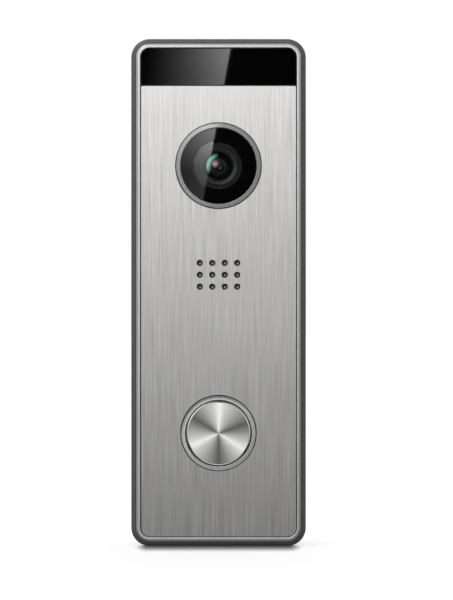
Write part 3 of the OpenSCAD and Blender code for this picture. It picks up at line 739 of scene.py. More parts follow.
@dataclass(frozen=True)
class PowderCoat(Finish):
    """Powder-coated metal: a satin dark coat with orange peel and a little wear in scattered
    specks.
    """

    colour: Colour
    # Colour of the specks where the coat is thin.
    worn_and_lit: Colour

    def build(self, tree: ShaderTree) -> None:
        """Orange peel from two sizes of noise, and specks where the coat is thin."""
        at = tree.spot()
        peel = 0.65 * tree.noise(at, 1.6, 2) + 0.35 * tree.noise(at, 6.0, 2)
        specks = tree.noise(at, 9.0, 3).step(0.66, 0.78)
        colour = tree.mix(0.25 * specks, self.colour, self.worn_and_lit)
        tree.surface(
            Base_Color=tree.shade(uneven(1, 0.16, tree.noise(at, 0.05, 2)), colour),
            Roughness=uneven(0.48, 0.12, peel),
            Normal=tree.bump(peel, 0.02),
        )


@dataclass(frozen=True)
class PlainMetal(Finish):
    """Satin, plated or zinc-coated metal with faint clouds and fine scratches."""

    colour: Colour
    roughness: float = 0.3
    clouds: float = 0.15

    def build(self, tree: ShaderTree) -> None:
        """Slow clouds and fine directionless scratches."""
        at = tree.spot()
        cloud = tree.noise(at, 0.35, 3)
        scratch = tree.noise(at, 12.0, 3)
        tree.surface(
            Base_Color=tree.shade(uneven(1, self.clouds, cloud), self.colour),
            Metallic=1.0,
            Roughness=uneven(self.roughness, 0.12, scratch),
            Normal=tree.bump(scratch, 0.004),
        )


@dataclass(frozen=True)
class BrushedPlate(Finish):
    """Sheet steel brushed from top to bottom."""

    colour: Colour
    roughness: float = 0.36
    contrast: float = 1.32

    def build(self, tree: ShaderTree) -> None:
        """Three widths of long upright streaks, in tone, gloss and bump."""
        x, _, z = tree.place()
        wide, middle, fine = (
            tree.noise(tree.vector(x * across, layer, z * along), 1.0, 2)
            for across, layer, along in ((0.5, 0.0, 0.012), (1.7, 4.0, 0.05), (3.7, 9.0, 0.05))
        )
        streak = 0.12 * wide + 0.25 * middle + 0.63 * fine
        tree.surface(
            Base_Color=tree.shade(uneven(1, self.contrast, streak), self.colour),
            Metallic=1.0,
            Roughness=uneven(self.roughness, 0.16, fine),
            Anisotropic=0.92,
            Normal=tree.bump(fine, 0.002),
        )


@dataclass(frozen=True)
class SatinTrim(Finish):
    """The trim's drawn metal, with streaks along its length and soft clouds."""

    colour: Colour
    roughness: float = 0.3

    def build(self, tree: ShaderTree) -> None:
        """Long streaks that follow the upright sides, and a slow change of tone."""
        x, d, z = tree.place()
        streak = tree.noise(tree.vector(x * 3.0, d * 3.0, z * 0.1), 1.0, 2)
        slow = tree.noise(tree.vector(x, d, z), 0.06, 2)
        tree.surface(
            Base_Color=tree.shade(0.91 + 0.06 * streak + 0.12 * slow, self.colour),
            Metallic=1.0,
            Roughness=uneven(self.roughness, 0.08, streak),
        )


@dataclass(frozen=True)
class TurnedMetal(Finish):
    """Metal turned on a lathe: fine rings round an axis along the depth."""

    colour: Colour
    centre: tuple[float, float]
    roughness: float = 0.28
    pitch: float = 0.12

    def rings(self, tree: ShaderTree) -> tuple[Value, Value, Value, Value]:
        """The place from the axis and a noise that changes only with the radius.

        Returns:
            x and z from the axis, the radius, and the ring noise.
        """
        across, up = tree.from_axis(self.centre)
        radius = tree.length(across, up)
        fine = tree.noise(tree.vector(radius / self.pitch, 0.0, 0.0), 1.0, 3)
        return across, up, radius, fine

    def build(self, tree: ShaderTree) -> None:
        """Rings in tone and bump."""
        _, _, _, fine = self.rings(tree)
        tree.surface(
            Base_Color=tree.shade(uneven(1, 0.28, fine), self.colour),
            Metallic=1.0,
            Roughness=uneven(self.roughness, 0.1, fine),
            Normal=tree.bump(fine, 0.003),
        )


@dataclass(frozen=True)
class LacqueredRing(TurnedMetal):
    """Turned metal under a clear glossy lacquer, which mirrors what the glass beside it mirrors."""

    def build(self, tree: ShaderTree) -> None:
        """Rings in tone under the lacquer."""
        _, _, _, fine = self.rings(tree)
        tree.surface(
            Base_Color=tree.shade(uneven(1, 0.2, fine), self.colour),
            Metallic=1.0,
            Roughness=uneven(self.roughness, 0.1, fine),
            Coat_Weight=1.0,
            Coat_IOR=2.0,
            Coat_Roughness=0.05,
        )


@dataclass(frozen=True)
class ShadedEdgeRing(TurnedMetal):
    """Turned metal with a painted shadow along its outer edge on the upper left, where the plate's
    edge above it would shade it.
    """

    shade_radius: float = 10.4
    shade_angle: float = 115.0
    soft: float = 0.28

    def build(self, tree: ShaderTree) -> None:
        """Rings in tone, and a crescent of painted shade along the outer edge, which is also a
        little rougher.
        """
        across, up, radius, fine = self.rings(tree)
        turn = math.radians(self.shade_angle)
        side = (across * math.cos(turn) + up * math.sin(turn)) / radius
        edge = radius.step(self.shade_radius - self.soft, self.shade_radius + self.soft)
        # Painted shade: the outer edge is darkened on the upper-left side.
        painted_shade = side.step(0.1, 0.95) * edge
        tree.surface(
            Base_Color=tree.shade(uneven(1, 0.28, fine) * (1 - 0.65 * painted_shade), self.colour),
            Metallic=1.0,
            Roughness=uneven(self.roughness, 0.1, fine) + 0.1 * painted_shade,
            Normal=tree.bump(fine, 0.003),
        )


@dataclass(frozen=True)
class SpunFace(TurnedMetal):
    """A spun metal face with bright and dark lobes painted into its colour by angle: painted
    highlights and painted shade in place of the glints of its lathe marks.
    """

    glint_angles: tuple[float, ...] = (88.0, 204.5, 328.0)
    shade_angles: tuple[float, ...] = (20.0, 148.0, 270.0)
    dark: float = 0.13
    face_radius: float = 9.25

    @staticmethod
    def marks(
        angles: Iterable[float], beside: float, shoulder: float, middle: float
    ) -> list[tuple[float, float]]:
        """Tones round the face.

        Args:
            angles: where the marks lie, in degrees.
            beside: how far from each angle its shoulders lie.
            shoulder: the tone there.
            middle: the tone at the angle itself.

        Returns:
            (share of a full turn, tone) of each.
        """
        tones = ((-beside, shoulder), (0, middle), (beside, shoulder))
        return [((angle + turn) % 360 / 360, tone) for angle in angles for turn, tone in tones]

    def build(self, tree: ShaderTree) -> None:
        """Painted highlights and painted shade as a loop of bright and dark angles on a ramp, with
        the rings over them.

        Each bright angle has a narrow peak over a wide shoulder, and each dark angle a hollow. Past
        the face's radius the ramp is turned over, so the rim is painted dark where the face is
        painted bright.
        """
        across, up, radius, fine = self.rings(tree)
        angle = tree.math("ARCTAN2", up, across) / (2 * math.pi)
        angle = tree.math("FRACT", angle + 1.0)
        # Painted highlights at the bright angles and painted shade at the dark ones.
        peaks = self.marks(self.glint_angles, 15, 0.66, 1.0)
        marks = sorted(peaks + self.marks(self.shade_angles, 14, 0.27, self.dark))
        first, last = marks[0], marks[-1]
        share = (1 - last[0]) / (first[0] + 1 - last[0])
        seam = last[1] + (first[1] - last[1]) * share
        tones = [(0.0, seam), *marks, (1.0, seam)]
        stops = [(place, (tone, tone, tone)) for place, tone in tones]
        ramp = tree.node("ShaderNodeValToRGB", {"stops": stops}, {0: angle})
        face = 1 - radius.step(self.face_radius - 0.02, self.face_radius + 0.02)
        # The rim's painted light is the face's turned over: dark where the face is bright.
        rim = 0.8 - 0.72 * tree.first(ramp.outputs[0])
        fan = tree.mix(face, tree.vector(rim, rim, rim), ramp.outputs[0])
        colour = tree.mix(1.0, fan, self.colour, "MULTIPLY")
        tree.surface(
            Base_Color=tree.shade(uneven(1, 0.12, fine), colour),
            Metallic=1.0,
            Roughness=uneven(self.roughness, 0.1, fine),
            Normal=tree.bump(fine, 0.002),
        )


@dataclass(frozen=True)
class Polished(Finish):
    """Polished black plastic or dark glass that hides what lies behind it."""

    colour: Colour
    roughness: float = 0.03

    def build(self, tree: ShaderTree) -> None:
        """A near-mirror with the faintest unevenness of gloss."""
        haze = tree.noise(tree.spot(), 0.2, 3)
        tree.surface(
            Base_Color=tree.shade(uneven(1, 0.2, haze), self.colour),
            Roughness=uneven(self.roughness, 0.6 * self.roughness, haze),
            IOR=1.5,
        )


@dataclass(frozen=True)
class CoverGlass(Finish):
    """Flat glass with a clear middle and a ring of black print behind its edge."""

    centre: tuple[float, float]
    clear_radius: float
    print_colour: Colour = (0.0008, 0.0008, 0.0008)
    clear_colour: Colour = (0.94, 0.95, 0.945)
    refraction: float = 1.52
    soft: float = 0.05

    def build(self, tree: ShaderTree) -> None:
        """Clear glass lets the light through and keeps its gloss; the print is opaque."""
        x, _, z = tree.place()
        across, up = x - self.centre[0], z - self.centre[1]
        radius = tree.length(across, up)
        haze = tree.noise(tree.vector(x, 0.0, z), 0.3, 2)
        printed = radius.step(self.clear_radius - self.soft, self.clear_radius + self.soft)

        def part(kind: str, sockets: dict[Any, Any]) -> bpy.types.NodeSocket:
            """One shader of the glass."""
            return tree.node(f"ShaderNode{kind}", {}, sockets).outputs[0]

        black = part("BsdfPrincipled", {
            "Base Color": self.print_colour, "Roughness": 0.008 + 0.008 * haze,
            "IOR": self.refraction,
        })
        clear = part("BsdfTransparent", {"Color": self.clear_colour})
        gloss = part("BsdfGlossy", {"Color": (1.0, 1.0, 1.0), "Roughness": 0.01})
        fresnel = part("Fresnel", {"IOR": self.refraction})
        glass = part("MixShader", {0: fresnel, 1: clear, 2: gloss})
        both = part("MixShader", {0: printed, 1: glass, 2: black})
        tree.node("ShaderNodeOutputMaterial", {}, {"Surface": both})


@dataclass(frozen=True)
class CoatedLens(Finish):
    """A coated lens: a dark pupil, faint rings of the elements behind it, a painted crescent
    reflection in the coating's colour and two small painted highlights.
    """

    centre: tuple[float, float]
    radius: float
    # Colour of the painted crescent reflection.
    coat: Colour = (0.48, 1.0, 0.86)
    pink_highlight: Colour = (0.72, 0.46, 0.52)
    reflection_angle: float = 154.0

    def build(self, tree: ShaderTree) -> None:
        """Zones by distance from the axis, with a painted crescent reflection on one side and two
        small painted highlights.
        """
        across, up = tree.from_axis(self.centre)

        def away(dx: float, dz: float) -> Value:
            """Distance from a place beside the axis, as a share of the lens's radius."""
            return tree.length(across - dx, up - dz) / self.radius

        def band(low: float, high: float, soft: float) -> Value:
            """A ring between two shares of the radius."""
            return radius.step(low - soft, low + soft) * (1 - radius.step(high - soft, high + soft))

        radius = away(0.0, 0.0)
        turn = math.radians(self.reflection_angle)
        side = (across * math.cos(turn) + up * math.sin(turn)) / self.radius
        colour = tree.mix(radius.step(0.25, 0.6), (0.008, 0.003, 0.005), (0.003, 0.005, 0.005))
        colour = tree.mix(band(0.5, 0.57, 0.03) * 0.6, colour, (0.07, 0.06, 0.065))
        colour = tree.mix(band(0.7, 0.76, 0.03) * 0.35, colour, (0.06, 0.035, 0.048))
        # A painted reflection: a crescent in the coating's colour on the upper-left side.
        colour = tree.mix(side.step(0.3, 0.84) * band(0.6, 0.9, 0.1), colour, self.coat)
        # A painted highlight, pinkish, up on the left.
        colour = tree.mix((1 - away(-1.15, 0.7).step(0.0, 0.34)) * 0.9, colour, self.pink_highlight)
        # A small painted highlight, pale green, low on the right.
        colour = tree.mix((1 - away(0.5, -0.6).step(0.02, 0.12)) * 0.8, colour, (0.2, 0.32, 0.28))
        tree.surface(
            Base_Color=colour,
            Roughness=0.1,
            IOR=1.25,
            Coat_Weight=0.25,
            Coat_Roughness=0.02,
        )


@dataclass(frozen=True)
class WovenMesh(Finish):
    """Fine woven steel gauze, with a painted bright spot of light in the middle of each grille hole
    and painted shade round it.
    """

    colour: Colour
    centre: tuple[float, float]
    spacing: tuple[float, float]
    pitch: float = 0.32

    def build(self, tree: ShaderTree) -> None:
        """Wires as the larger of two sine ridges, and a painted bright spot of light behind each
        hole, in painted shade towards the hole's edge.
        """
        x, _, z = tree.place()
        rate = math.pi / self.pitch
        over = tree.math("ABSOLUTE", tree.math("SINE", x * rate))
        under = tree.math("ABSOLUTE", tree.math("SINE", z * rate))
        wire = tree.math("MAXIMUM", over, under)
        solid = wire.step(0.55, 0.9)
        (step_x, step_z), (middle_x, middle_z) = self.spacing, self.centre
        column = tree.math("FRACT", (x - middle_x - 0.1) / step_x + 10.0)
        row = tree.math("FRACT", (z - middle_z + 0.1) / step_z + 10.5)
        across, up = (column - 0.5) * step_x, (row - 0.5) * step_z
        # Painted light: a bright spot behind the middle of each hole, fading to painted shade at
        # its edge.
        worn_and_lit = 1 - tree.length(across, up).step(0.12, 0.6)
        tree.surface(
            Base_Color=tree.shade((0.3 + 0.7 * solid) * (0.04 + 0.96 * worn_and_lit), self.colour),
            Metallic=0.6,
            Roughness=0.45 + 0.3 * (1 - solid),
            Normal=tree.bump(wire, 0.08),
        )


@dataclass(frozen=True)
class CircuitBoard(Finish):
    """Glass-fibre board with a green mask over copper tracks, and tinned pads."""

    mask: Colour = (0.006, 0.07, 0.03)
    copper: Colour = (0.02, 0.16, 0.07)
    tin: Colour = (0.55, 0.56, 0.55)

    def build(self, tree: ShaderTree) -> None:
        """Tracks are bands of a stepped noise, pads are the middles of scattered cells."""
        x, d, z = tree.place()
        coarse = tree.vector(tree.math("SNAP", x, 0.6), d, z * 0.25)
        track = tree.noise(coarse, 0.9, 1)
        line = track.step(0.5, 0.52) * (1 - track.step(0.58, 0.6))
        middle = tree.cells(tree.vector(x, 0.0, z), 0.45).outputs["Distance"]
        pad = 1 - Value(tree, middle).step(0.16, 0.2)
        green = tree.mix(line, self.mask, self.copper)
        tree.surface(
            Base_Color=tree.mix(pad, green, self.tin),
            Metallic=pad * 0.8,
            Roughness=0.28 + 0.1 * line,
            Normal=tree.bump(line + pad, 0.03),
        )


@dataclass(frozen=True)
class ZincSheet(Finish):
    """Galvanised sheet steel with its frost-like spangle."""

    colour: Colour

    def build(self, tree: ShaderTree) -> None:
        """Crystals as scattered cells of slightly different tone and gloss."""
        at = tree.spot()
        tone = tree.first(tree.cells(at, 0.28).outputs["Color"])
        fine = tree.noise(at, 4.0, 4)
        tree.surface(
            Base_Color=tree.shade(0.88 + 0.1 * tone + 0.06 * fine, self.colour),
            Metallic=1.0,
            Roughness=0.36 + 0.07 * tone,
            Normal=tree.bump(fine, 0.006),
        )


# ---------------------------------------------------------------- pieces


class Body(Enum):
    """The groups of the CAD model that the new pieces move with."""

    PANEL = "panel"
    BUTTON = "call_button"


def make_piece(
    name: str,
    surface: Surface,
    finish: Finish,
    stands_for: str,
    body: Body = Body.PANEL,
    sharp: float = 35.0,
) -> bpy.types.Object:
    """Turns a surface into a finished piece of the object.

    Points that meet are merged, faces are turned outwards, and edges sharper than an angle stay
    sharp while the rest is shaded smooth.

    Args:
        name: the piece's name.
        surface: its shape.
        finish: its finish.
        stands_for: the CAD node that it replaces.
        body: the group that it moves with.
        sharp: the angle in degrees.

    Returns:
        The piece.
    """
    metres = surface.points * np.array([1, -1, 1]) * MM
    mesh = bpy.data.meshes.new(name)
    mesh.from_pydata(metres.tolist(), [], surface.faces)
    shaped = bmesh.new()
    shaped.from_mesh(mesh)
    bmesh.ops.remove_doubles(shaped, verts=shaped.verts, dist=MERGE_DISTANCE)
    bmesh.ops.dissolve_degenerate(shaped, edges=shaped.edges, dist=1e-7)
    bmesh.ops.recalc_face_normals(shaped, faces=shaped.faces)
    open_edges = sum(1 for e in shaped.edges if not e.is_manifold)
    shaped.to_mesh(mesh)
    shaped.free()
    mesh.shade_smooth()
    mesh.set_sharp_from_angle(angle=math.radians(sharp))
    mesh.materials.append(finish.material())
    piece = bpy.data.objects.new(name, mesh)
    bpy.context.scene.collection.objects.link(piece)
    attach(piece, body.value)
    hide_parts(stands_for)
    log.info("%s: %d faces, %d edges not closed", name, len(mesh.polygons), open_edges)
    return piece


def dress(name: str, finish: Finish) -> None:
    """Gives a CAD node its finish."""
    data = frame["nodes"][name].data
    data.materials.clear()
    data.materials.append(finish.material())
    log.info("%s: dressed as %s", name, finish.name)


STEEL: Colour = (0.545, 0.541, 0.534)
BLACK_PLASTIC = Moulded("black_plastic", (0.012, 0.012, 0.013), 0.45)
BLACK_RUBBER = Moulded("black_rubber", (0.01, 0.01, 0.01), 0.75, 0.03, 2.0)
BLACK_FOAM = Moulded("black_foam", (0.006, 0.006, 0.006), 0.95, 0.08, 1.6)
SCREW_STEEL = PlainMetal("zinc_screw", (0.62, 0.63, 0.65), 0.26)
SPRING_STEEL = PlainMetal("spring_wire", (0.5, 0.5, 0.51), 0.22)


@dataclass(frozen=True)
class Casing:
    """The housing with its rim, ledge, front wall and bosses, and the trim round its front."""

    corner_radius: float = 5.55
    edge_round: float = 1.3
    side_wall: float = 3.4
    hidden_overlap: float = 0.3
    cover_clearance: float = 0.2
    ledge_width: float = 1.2
    ring_clearance: float = 0.1
    speaker_lip: float = 2.5
    lamp_hole: float = 2.8
    sensor_hole: float = 1.6
    boss_radius: float = 2.75
    pilot_radius: float = 1.3
    trim_gap: float = 0.05
    trim_slope: float = 0.6
    trim_crest: float = 0.66
    body: Extent = field(default_factory=lambda: node("housing"))
    trim: Extent = field(default_factory=lambda: node("trim_frame"))

    def outline(self, inset: float = 0.0) -> RoundedLoop:
        """The body's outline, moved in from its edge."""
        return box_loop(self.body, self.corner_radius - inset, inset, 16)

    def concentric(self, box: Extent) -> float:
        """The corner radius of a part that lies evenly inside the body's outline."""
        return self.corner_radius - (box.left - self.body.left)

    def walls(self) -> Surface:
        """The side walls, rounded at the front, with the step that the rear gasket lies on."""
        body, front_wall, ledge = self.body, self.trim.back, node("rear_gasket").front
        wall = body.width / 2 - node("rear_cover").width / 2 - self.cover_clearance
        rim = self.trim.left - body.left - self.trim_gap
        inner = wall + self.ledge_width
        corners = [
            (0, body.back, 0.4), (0, body.front, self.edge_round), (rim, body.front, 0.08),
            (rim, front_wall, 0), (inner, front_wall, 0), (inner, ledge, 0.1),
            (wall, ledge, 0), (wall, body.back, 0.3),
        ]
        return rings(self.outline(), section(corners, True, 7), True)

    def front_wall(self) -> Surface:
        """The wall behind the front plate, with its openings."""
        ring, button, speaker = node("camera_ring"), node("button_ring"), node("speaker_frame")
        clear = self.ring_clearance
        openings: list[Loop] = [
            RoundHole(ring.centre, ring.width / 2 + clear),
            RoundHole(button.centre, button.width / 2 + clear),
            RoundHole(speaker.centre, speaker.width / 2 - self.speaker_lip),
            *[RoundHole(lamp.centre, self.lamp_hole, steps=32) for lamp in solids("ir_leds")],
            RoundHole(node("light_sensor").centre, self.sensor_hole, steps=32),
        ]
        outer = self.outline(self.side_wall - self.hidden_overlap)
        back = node("speaker_gasket").front
        return plate(outer, openings, back, self.trim.back - 0.01, 0.1)

    def bosses(self) -> list[Surface]:
        """The round posts that the rear cover is screwed to, each with a pilot hole."""
        wall, ledge = node("speaker_gasket").front + 0.5, node("rear_gasket").front
        hole, edge = self.pilot_radius, self.boss_radius
        corners = [(hole, ledge, 0.1), (edge, ledge, 0.3), (edge, wall, 0), (hole, wall, 0)]
        outline = section(corners)
        return [turned(outline, screw.centre, steps=40) for screw in solids("cover_screws")]

    def build(self) -> None:
        """Makes the housing and the trim."""
        coat = PowderCoat("housing_powder_coat", (0.03, 0.03, 0.031), (0.07, 0.07, 0.07))
        shell = joined([self.walls(), self.front_wall(), *self.bosses()])
        make_piece("housing_shell", shell, coat, "housing")
        self.build_trim()

    def build_trim(self) -> None:
        """The trim: a sloping outer facet, a flat crest and an upright inner side."""
        trim = self.trim
        rim = trim.left - self.body.left
        facet = rim + self.trim_slope
        inner = facet + self.trim_crest
        corners = [
            (rim, trim.back, 0.05), (rim, self.body.front, 0.04), (facet, trim.front, 0.08),
            (inner, trim.front, 0.12), (inner, trim.back, 0.05),
        ]
        shape = rings(self.outline(), section(corners, True, 4), True)
        finish = SatinTrim("trim_metal", (0.41, 0.41, 0.413), 0.38)
        make_piece("trim_ring", shape, finish, "trim_frame")


@dataclass(frozen=True)
class Front:
    """The brushed plate, the infrared window, and the gauze behind the grille."""

    casing: Casing
    columns: int = 4
    rows: int = 3
    pitch_x: float = 3.71
    pitch_z: float = 3.53
    hole_diameter: float = 1.85
    square_corner: float = 0.4
    camera_gap: float = 0.27
    button_gap: float = 0.28
    plate_bevel: float = 0.06
    window_bevel: float = 0.04
    gauze_round: float = 0.04

    def loop(self, box: Extent, low_round: bool) -> RoundedLoop:
        """A plate's edge, concentric with the body's corners at one end and square at the other."""
        r, s = self.casing.concentric(box), self.square_corner
        radii = (s, s, r, r) if low_round else (r, r, s, s)
        return RoundedLoop(box.left, box.right, box.low, box.high, radii)

    def grille(self) -> list[Loop]:
        """The grille's holes in rows and columns about the gauze's centre."""
        x, z = node("grille_mesh").centre
        middle_column, middle_row = (self.columns - 1) / 2, (self.rows - 1) / 2
        places = [
            (x + (i - middle_column) * self.pitch_x, z + (j - middle_row) * self.pitch_z)
            for i in range(self.columns)
            for j in range(self.rows)
        ]
        return [RoundHole(place, self.hole_diameter / 2, steps=40) for place in places]

    def build(self) -> None:
        """Makes the plate, the window and the gauze."""
        box = node("front_plate")
        holes: list[Loop] = [
            RoundHole(ring.centre, ring.width / 2 + gap, steps=160)
            for ring, gap in (
                (node("camera_ring"), self.camera_gap), (node("button_ring"), self.button_gap))
        ]
        holes += self.grille()
        sheet = plate(self.loop(box, True), holes, box.back, box.front, self.plate_bevel)
        finish: Finish = BrushedPlate("brushed_steel", STEEL)
        make_piece("brushed_front_plate", sheet, finish, "front_plate")
        pane = node("ir_window")
        glass = plate(self.loop(pane, False), [], pane.back, pane.front, self.window_bevel)
        finish = Polished("smoked_acrylic", (0.0006, 0.0006, 0.0007), 0.012)
        make_piece("infrared_window", glass, finish, "ir_window")
        self.build_gauze()

    def build_gauze(self) -> None:
        """The disc of gauze behind the grille."""
        box, soft = node("grille_mesh"), self.gauze_round
        outline = disc(box.width / 2, box.back, box.front, soft, soft, 2)
        spacing = (self.pitch_x, self.pitch_z)
        finish = WovenMesh("steel_gauze", (0.3, 0.29, 0.27), box.centre, spacing)
        make_piece("grille_gauze", turned(outline, box.centre, False, 64), finish, "grille_mesh")


@dataclass(frozen=True)
class Camera:
    """The camera's ring, cover glass and lens."""

    lip: float = 1.1
    glass_clearance: float = 0.05
    print_overlap: float = 0.4
    thread_pitch: float = 0.5
    thread_radius: float = 6.0
    thread_depth: float = 0.28
    head_length: float = 4.8
    mouth_radius: float = 5.65
    mouth_step: float = 0.12
    bore_radius: float = 3.5
    keeper_width: float = 1.35
    keeper_crest: float = 0.12
    cone_width: float = 1.1
    cone_depth: float = 0.36
    flange_width: float = 1.55

    def build(self) -> None:
        """Makes every piece that shows through the cover glass."""
        self.build_ring()
        self.build_glass()
        self.build_barrel()
        self.build_keeper()
        self.build_lens()

    def build_ring(self) -> None:
        """The ring: a flat crest between two small bevels, with a lip under the glass."""
        ring, seat = node("camera_ring"), node("camera_glass_seal").back
        outer, inner = ring.width / 2, node("camera_glass").width / 2 + self.glass_clearance
        lip = inner - self.lip
        outline = section([
            (lip, ring.back, 0.05), (outer, ring.back, 0.05), (outer, ring.front, 0.07),
            (inner, ring.front, 0.06), (inner, seat, 0), (lip, seat, 0.05),
        ])
        finish = LacqueredRing("camera_ring_metal", (0.182, 0.182, 0.184), ring.centre, 0.26)
        make_piece("camera_bezel", turned(outline, ring.centre, steps=192), finish, "camera_ring")

    def build_glass(self) -> None:
        """The flat cover glass with a ground edge."""
        glass = node("camera_glass")
        shape = turned(
            disc(glass.width / 2, glass.back, glass.front, 0.06, 0.12), glass.centre, False, 160)
        clear = node("lens_barrel").width / 2 + self.print_overlap
        finish = CoverGlass("cover_glass", glass.centre, clear)
        make_piece("camera_cover_glass", shape, finish, "camera_glass")

    def build_barrel(self) -> None:
        """The barrel, with a stepped mouth and a thread of rings."""
        barrel, seat = node("lens_barrel"), node("lens_front_element").back
        head, thread = barrel.width / 2, self.thread_radius
        root = thread - self.thread_depth
        head_back = barrel.front - self.head_length
        mouth, step, bore = self.mouth_radius, self.mouth_step, self.bore_radius
        turns = int((head_back - barrel.back - 0.8) / self.thread_pitch)
        depths = barrel.back + 0.4 + np.arange(turns + 1) * self.thread_pitch
        ridges = [(r, d, 0.0) for d in depths for r in (root, thread)]
        corners = [
            (bore, barrel.back, 0.05), (root, barrel.back, 0.1), *ridges,
            (thread - 0.2, head_back, 0), (head, head_back, 0.2), (head, barrel.front, 0.35),
            (mouth + step, barrel.front, 0.05), (mouth, barrel.front - step, 0.05),
            (mouth, seat, 0), (bore, seat, 0),
        ]
        shape = turned(section(corners), barrel.centre, steps=96)
        finish = TurnedMetal("anodised_black", (0.02, 0.02, 0.021), barrel.centre, 0.42, 0.2)
        make_piece("lens_tube", shape, finish, "lens_barrel")

    def build_keeper(self) -> None:
        """The ring that holds the front lens, with a cone that slopes in to it."""
        keeper = node("lens_retainer")
        outer, back, front = keeper.width / 2, keeper.back, keeper.front
        outline = section([
            (outer - self.keeper_width, back, 0.05), (outer, back, 0.05), (outer, front, 0.05),
            (outer - self.keeper_crest, front, 0.05),
            (outer - self.cone_width, front - self.cone_depth, 0.1),
        ])
        shape = turned(outline, keeper.centre, steps=96)
        finish = TurnedMetal("keeper_ring_metal", (0.085, 0.083, 0.085), keeper.centre, 0.4, 0.15)
        make_piece("lens_keeper_ring", shape, finish, "lens_retainer")

    def build_lens(self) -> None:
        """The front lens: a flat flange and a dome, the cap of a sphere.

        The sphere's radius is half of dome times dome plus rise times rise, over the rise.
        """
        element, seat = node("lens_front_element"), node("lens_retainer").back
        flange = element.width / 2
        dome, rise = flange - self.flange_width, element.front - seat
        sphere = (dome * dome + rise * rise) / (2 * rise)
        t = np.linspace(math.asin(dome / sphere), 0, 16)
        cap = np.stack([sphere * np.sin(t), element.front - sphere * (1 - np.cos(t))], axis=1)
        back = element.back
        corners = [(0, back, 0), (flange, back, 0.1), (flange, seat, 0.1), (dome, seat, 0)]
        outline = np.vstack([section(corners, False), cap[1:]])
        # The lens's colour carries a painted crescent reflection and painted highlights.
        finish = CoatedLens("coated_front_lens", element.centre, dome)
        shape = turned(outline, element.centre, False, 96)
        make_piece("front_lens", shape, finish, "lens_front_element")


@dataclass(frozen=True)
class CallButton:
    """The sprung call button: its ring, face and spring."""

    rim_width: float = 1.25
    rim_slope: float = 1.1
    # Width of the painted shade along the button ring's outer edge.
    shade_width: float = 0.62
    face_rim: float = 0.36
    wire: float = 0.5
    spring_turns: float = 4.4

    def build(self) -> None:
        """Makes the button's pieces."""
        self.build_ring()
        self.build_face()
        self.build_spring()

    def build_ring(self) -> None:
        """The ring, whose crest slopes down outwards by a small angle in degrees."""
        ring = node("button_ring")
        outer, inner = ring.width / 2, ring.width / 2 - self.rim_width
        low_crest = ring.front - math.tan(math.radians(self.rim_slope)) * (outer - inner)
        outline = section([
            (inner, ring.back, 0.05), (outer, ring.back, 0.05), (outer, low_crest, 0.08),
            (inner, ring.front, 0.14),
        ])
        # The ring's finish paints shade along its outer edge on the upper left.
        finish = ShadedEdgeRing("button_ring_metal", (0.52, 0.52, 0.524), ring.centre, 0.26,
                          shade_radius=outer - self.shade_width)
        make_piece("button_bezel", turned(outline, ring.centre, steps=192), finish, "button_ring")

    def build_face(self) -> None:
        """The button's spun face."""
        cap = node("button_cap")
        edge = cap.width / 2
        shape = turned(disc(edge, cap.back, cap.front, 0.25, 0.15), cap.centre, False, 192)
        # The face's colour carries painted highlights and painted shade in lobes round its axis.
        finish = SpunFace("spun_button_face", (0.86, 0.86, 0.85), cap.centre, 0.42, 0.12,
                          face_radius=edge - self.face_rim)
        make_piece("button_face", shape, finish, "button_cap", Body.BUTTON)

    def build_spring(self) -> None:
        """The return spring, held at the back by the guide."""
        box = node("button_spring")
        radius = box.width / 2 - self.wire / 2
        shape = coil(box.centre, radius, self.wire, box.back, box.front, self.spring_turns)
        spring = make_piece("return_spring", shape, SPRING_STEEL, "button_spring")
        travel = max(frame["joints"][0]["range_m"]) / MM
        keep = 1 - travel / (box.front - box.back)
        anchor = (0, -box.back * MM, 0)
        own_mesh(spring)


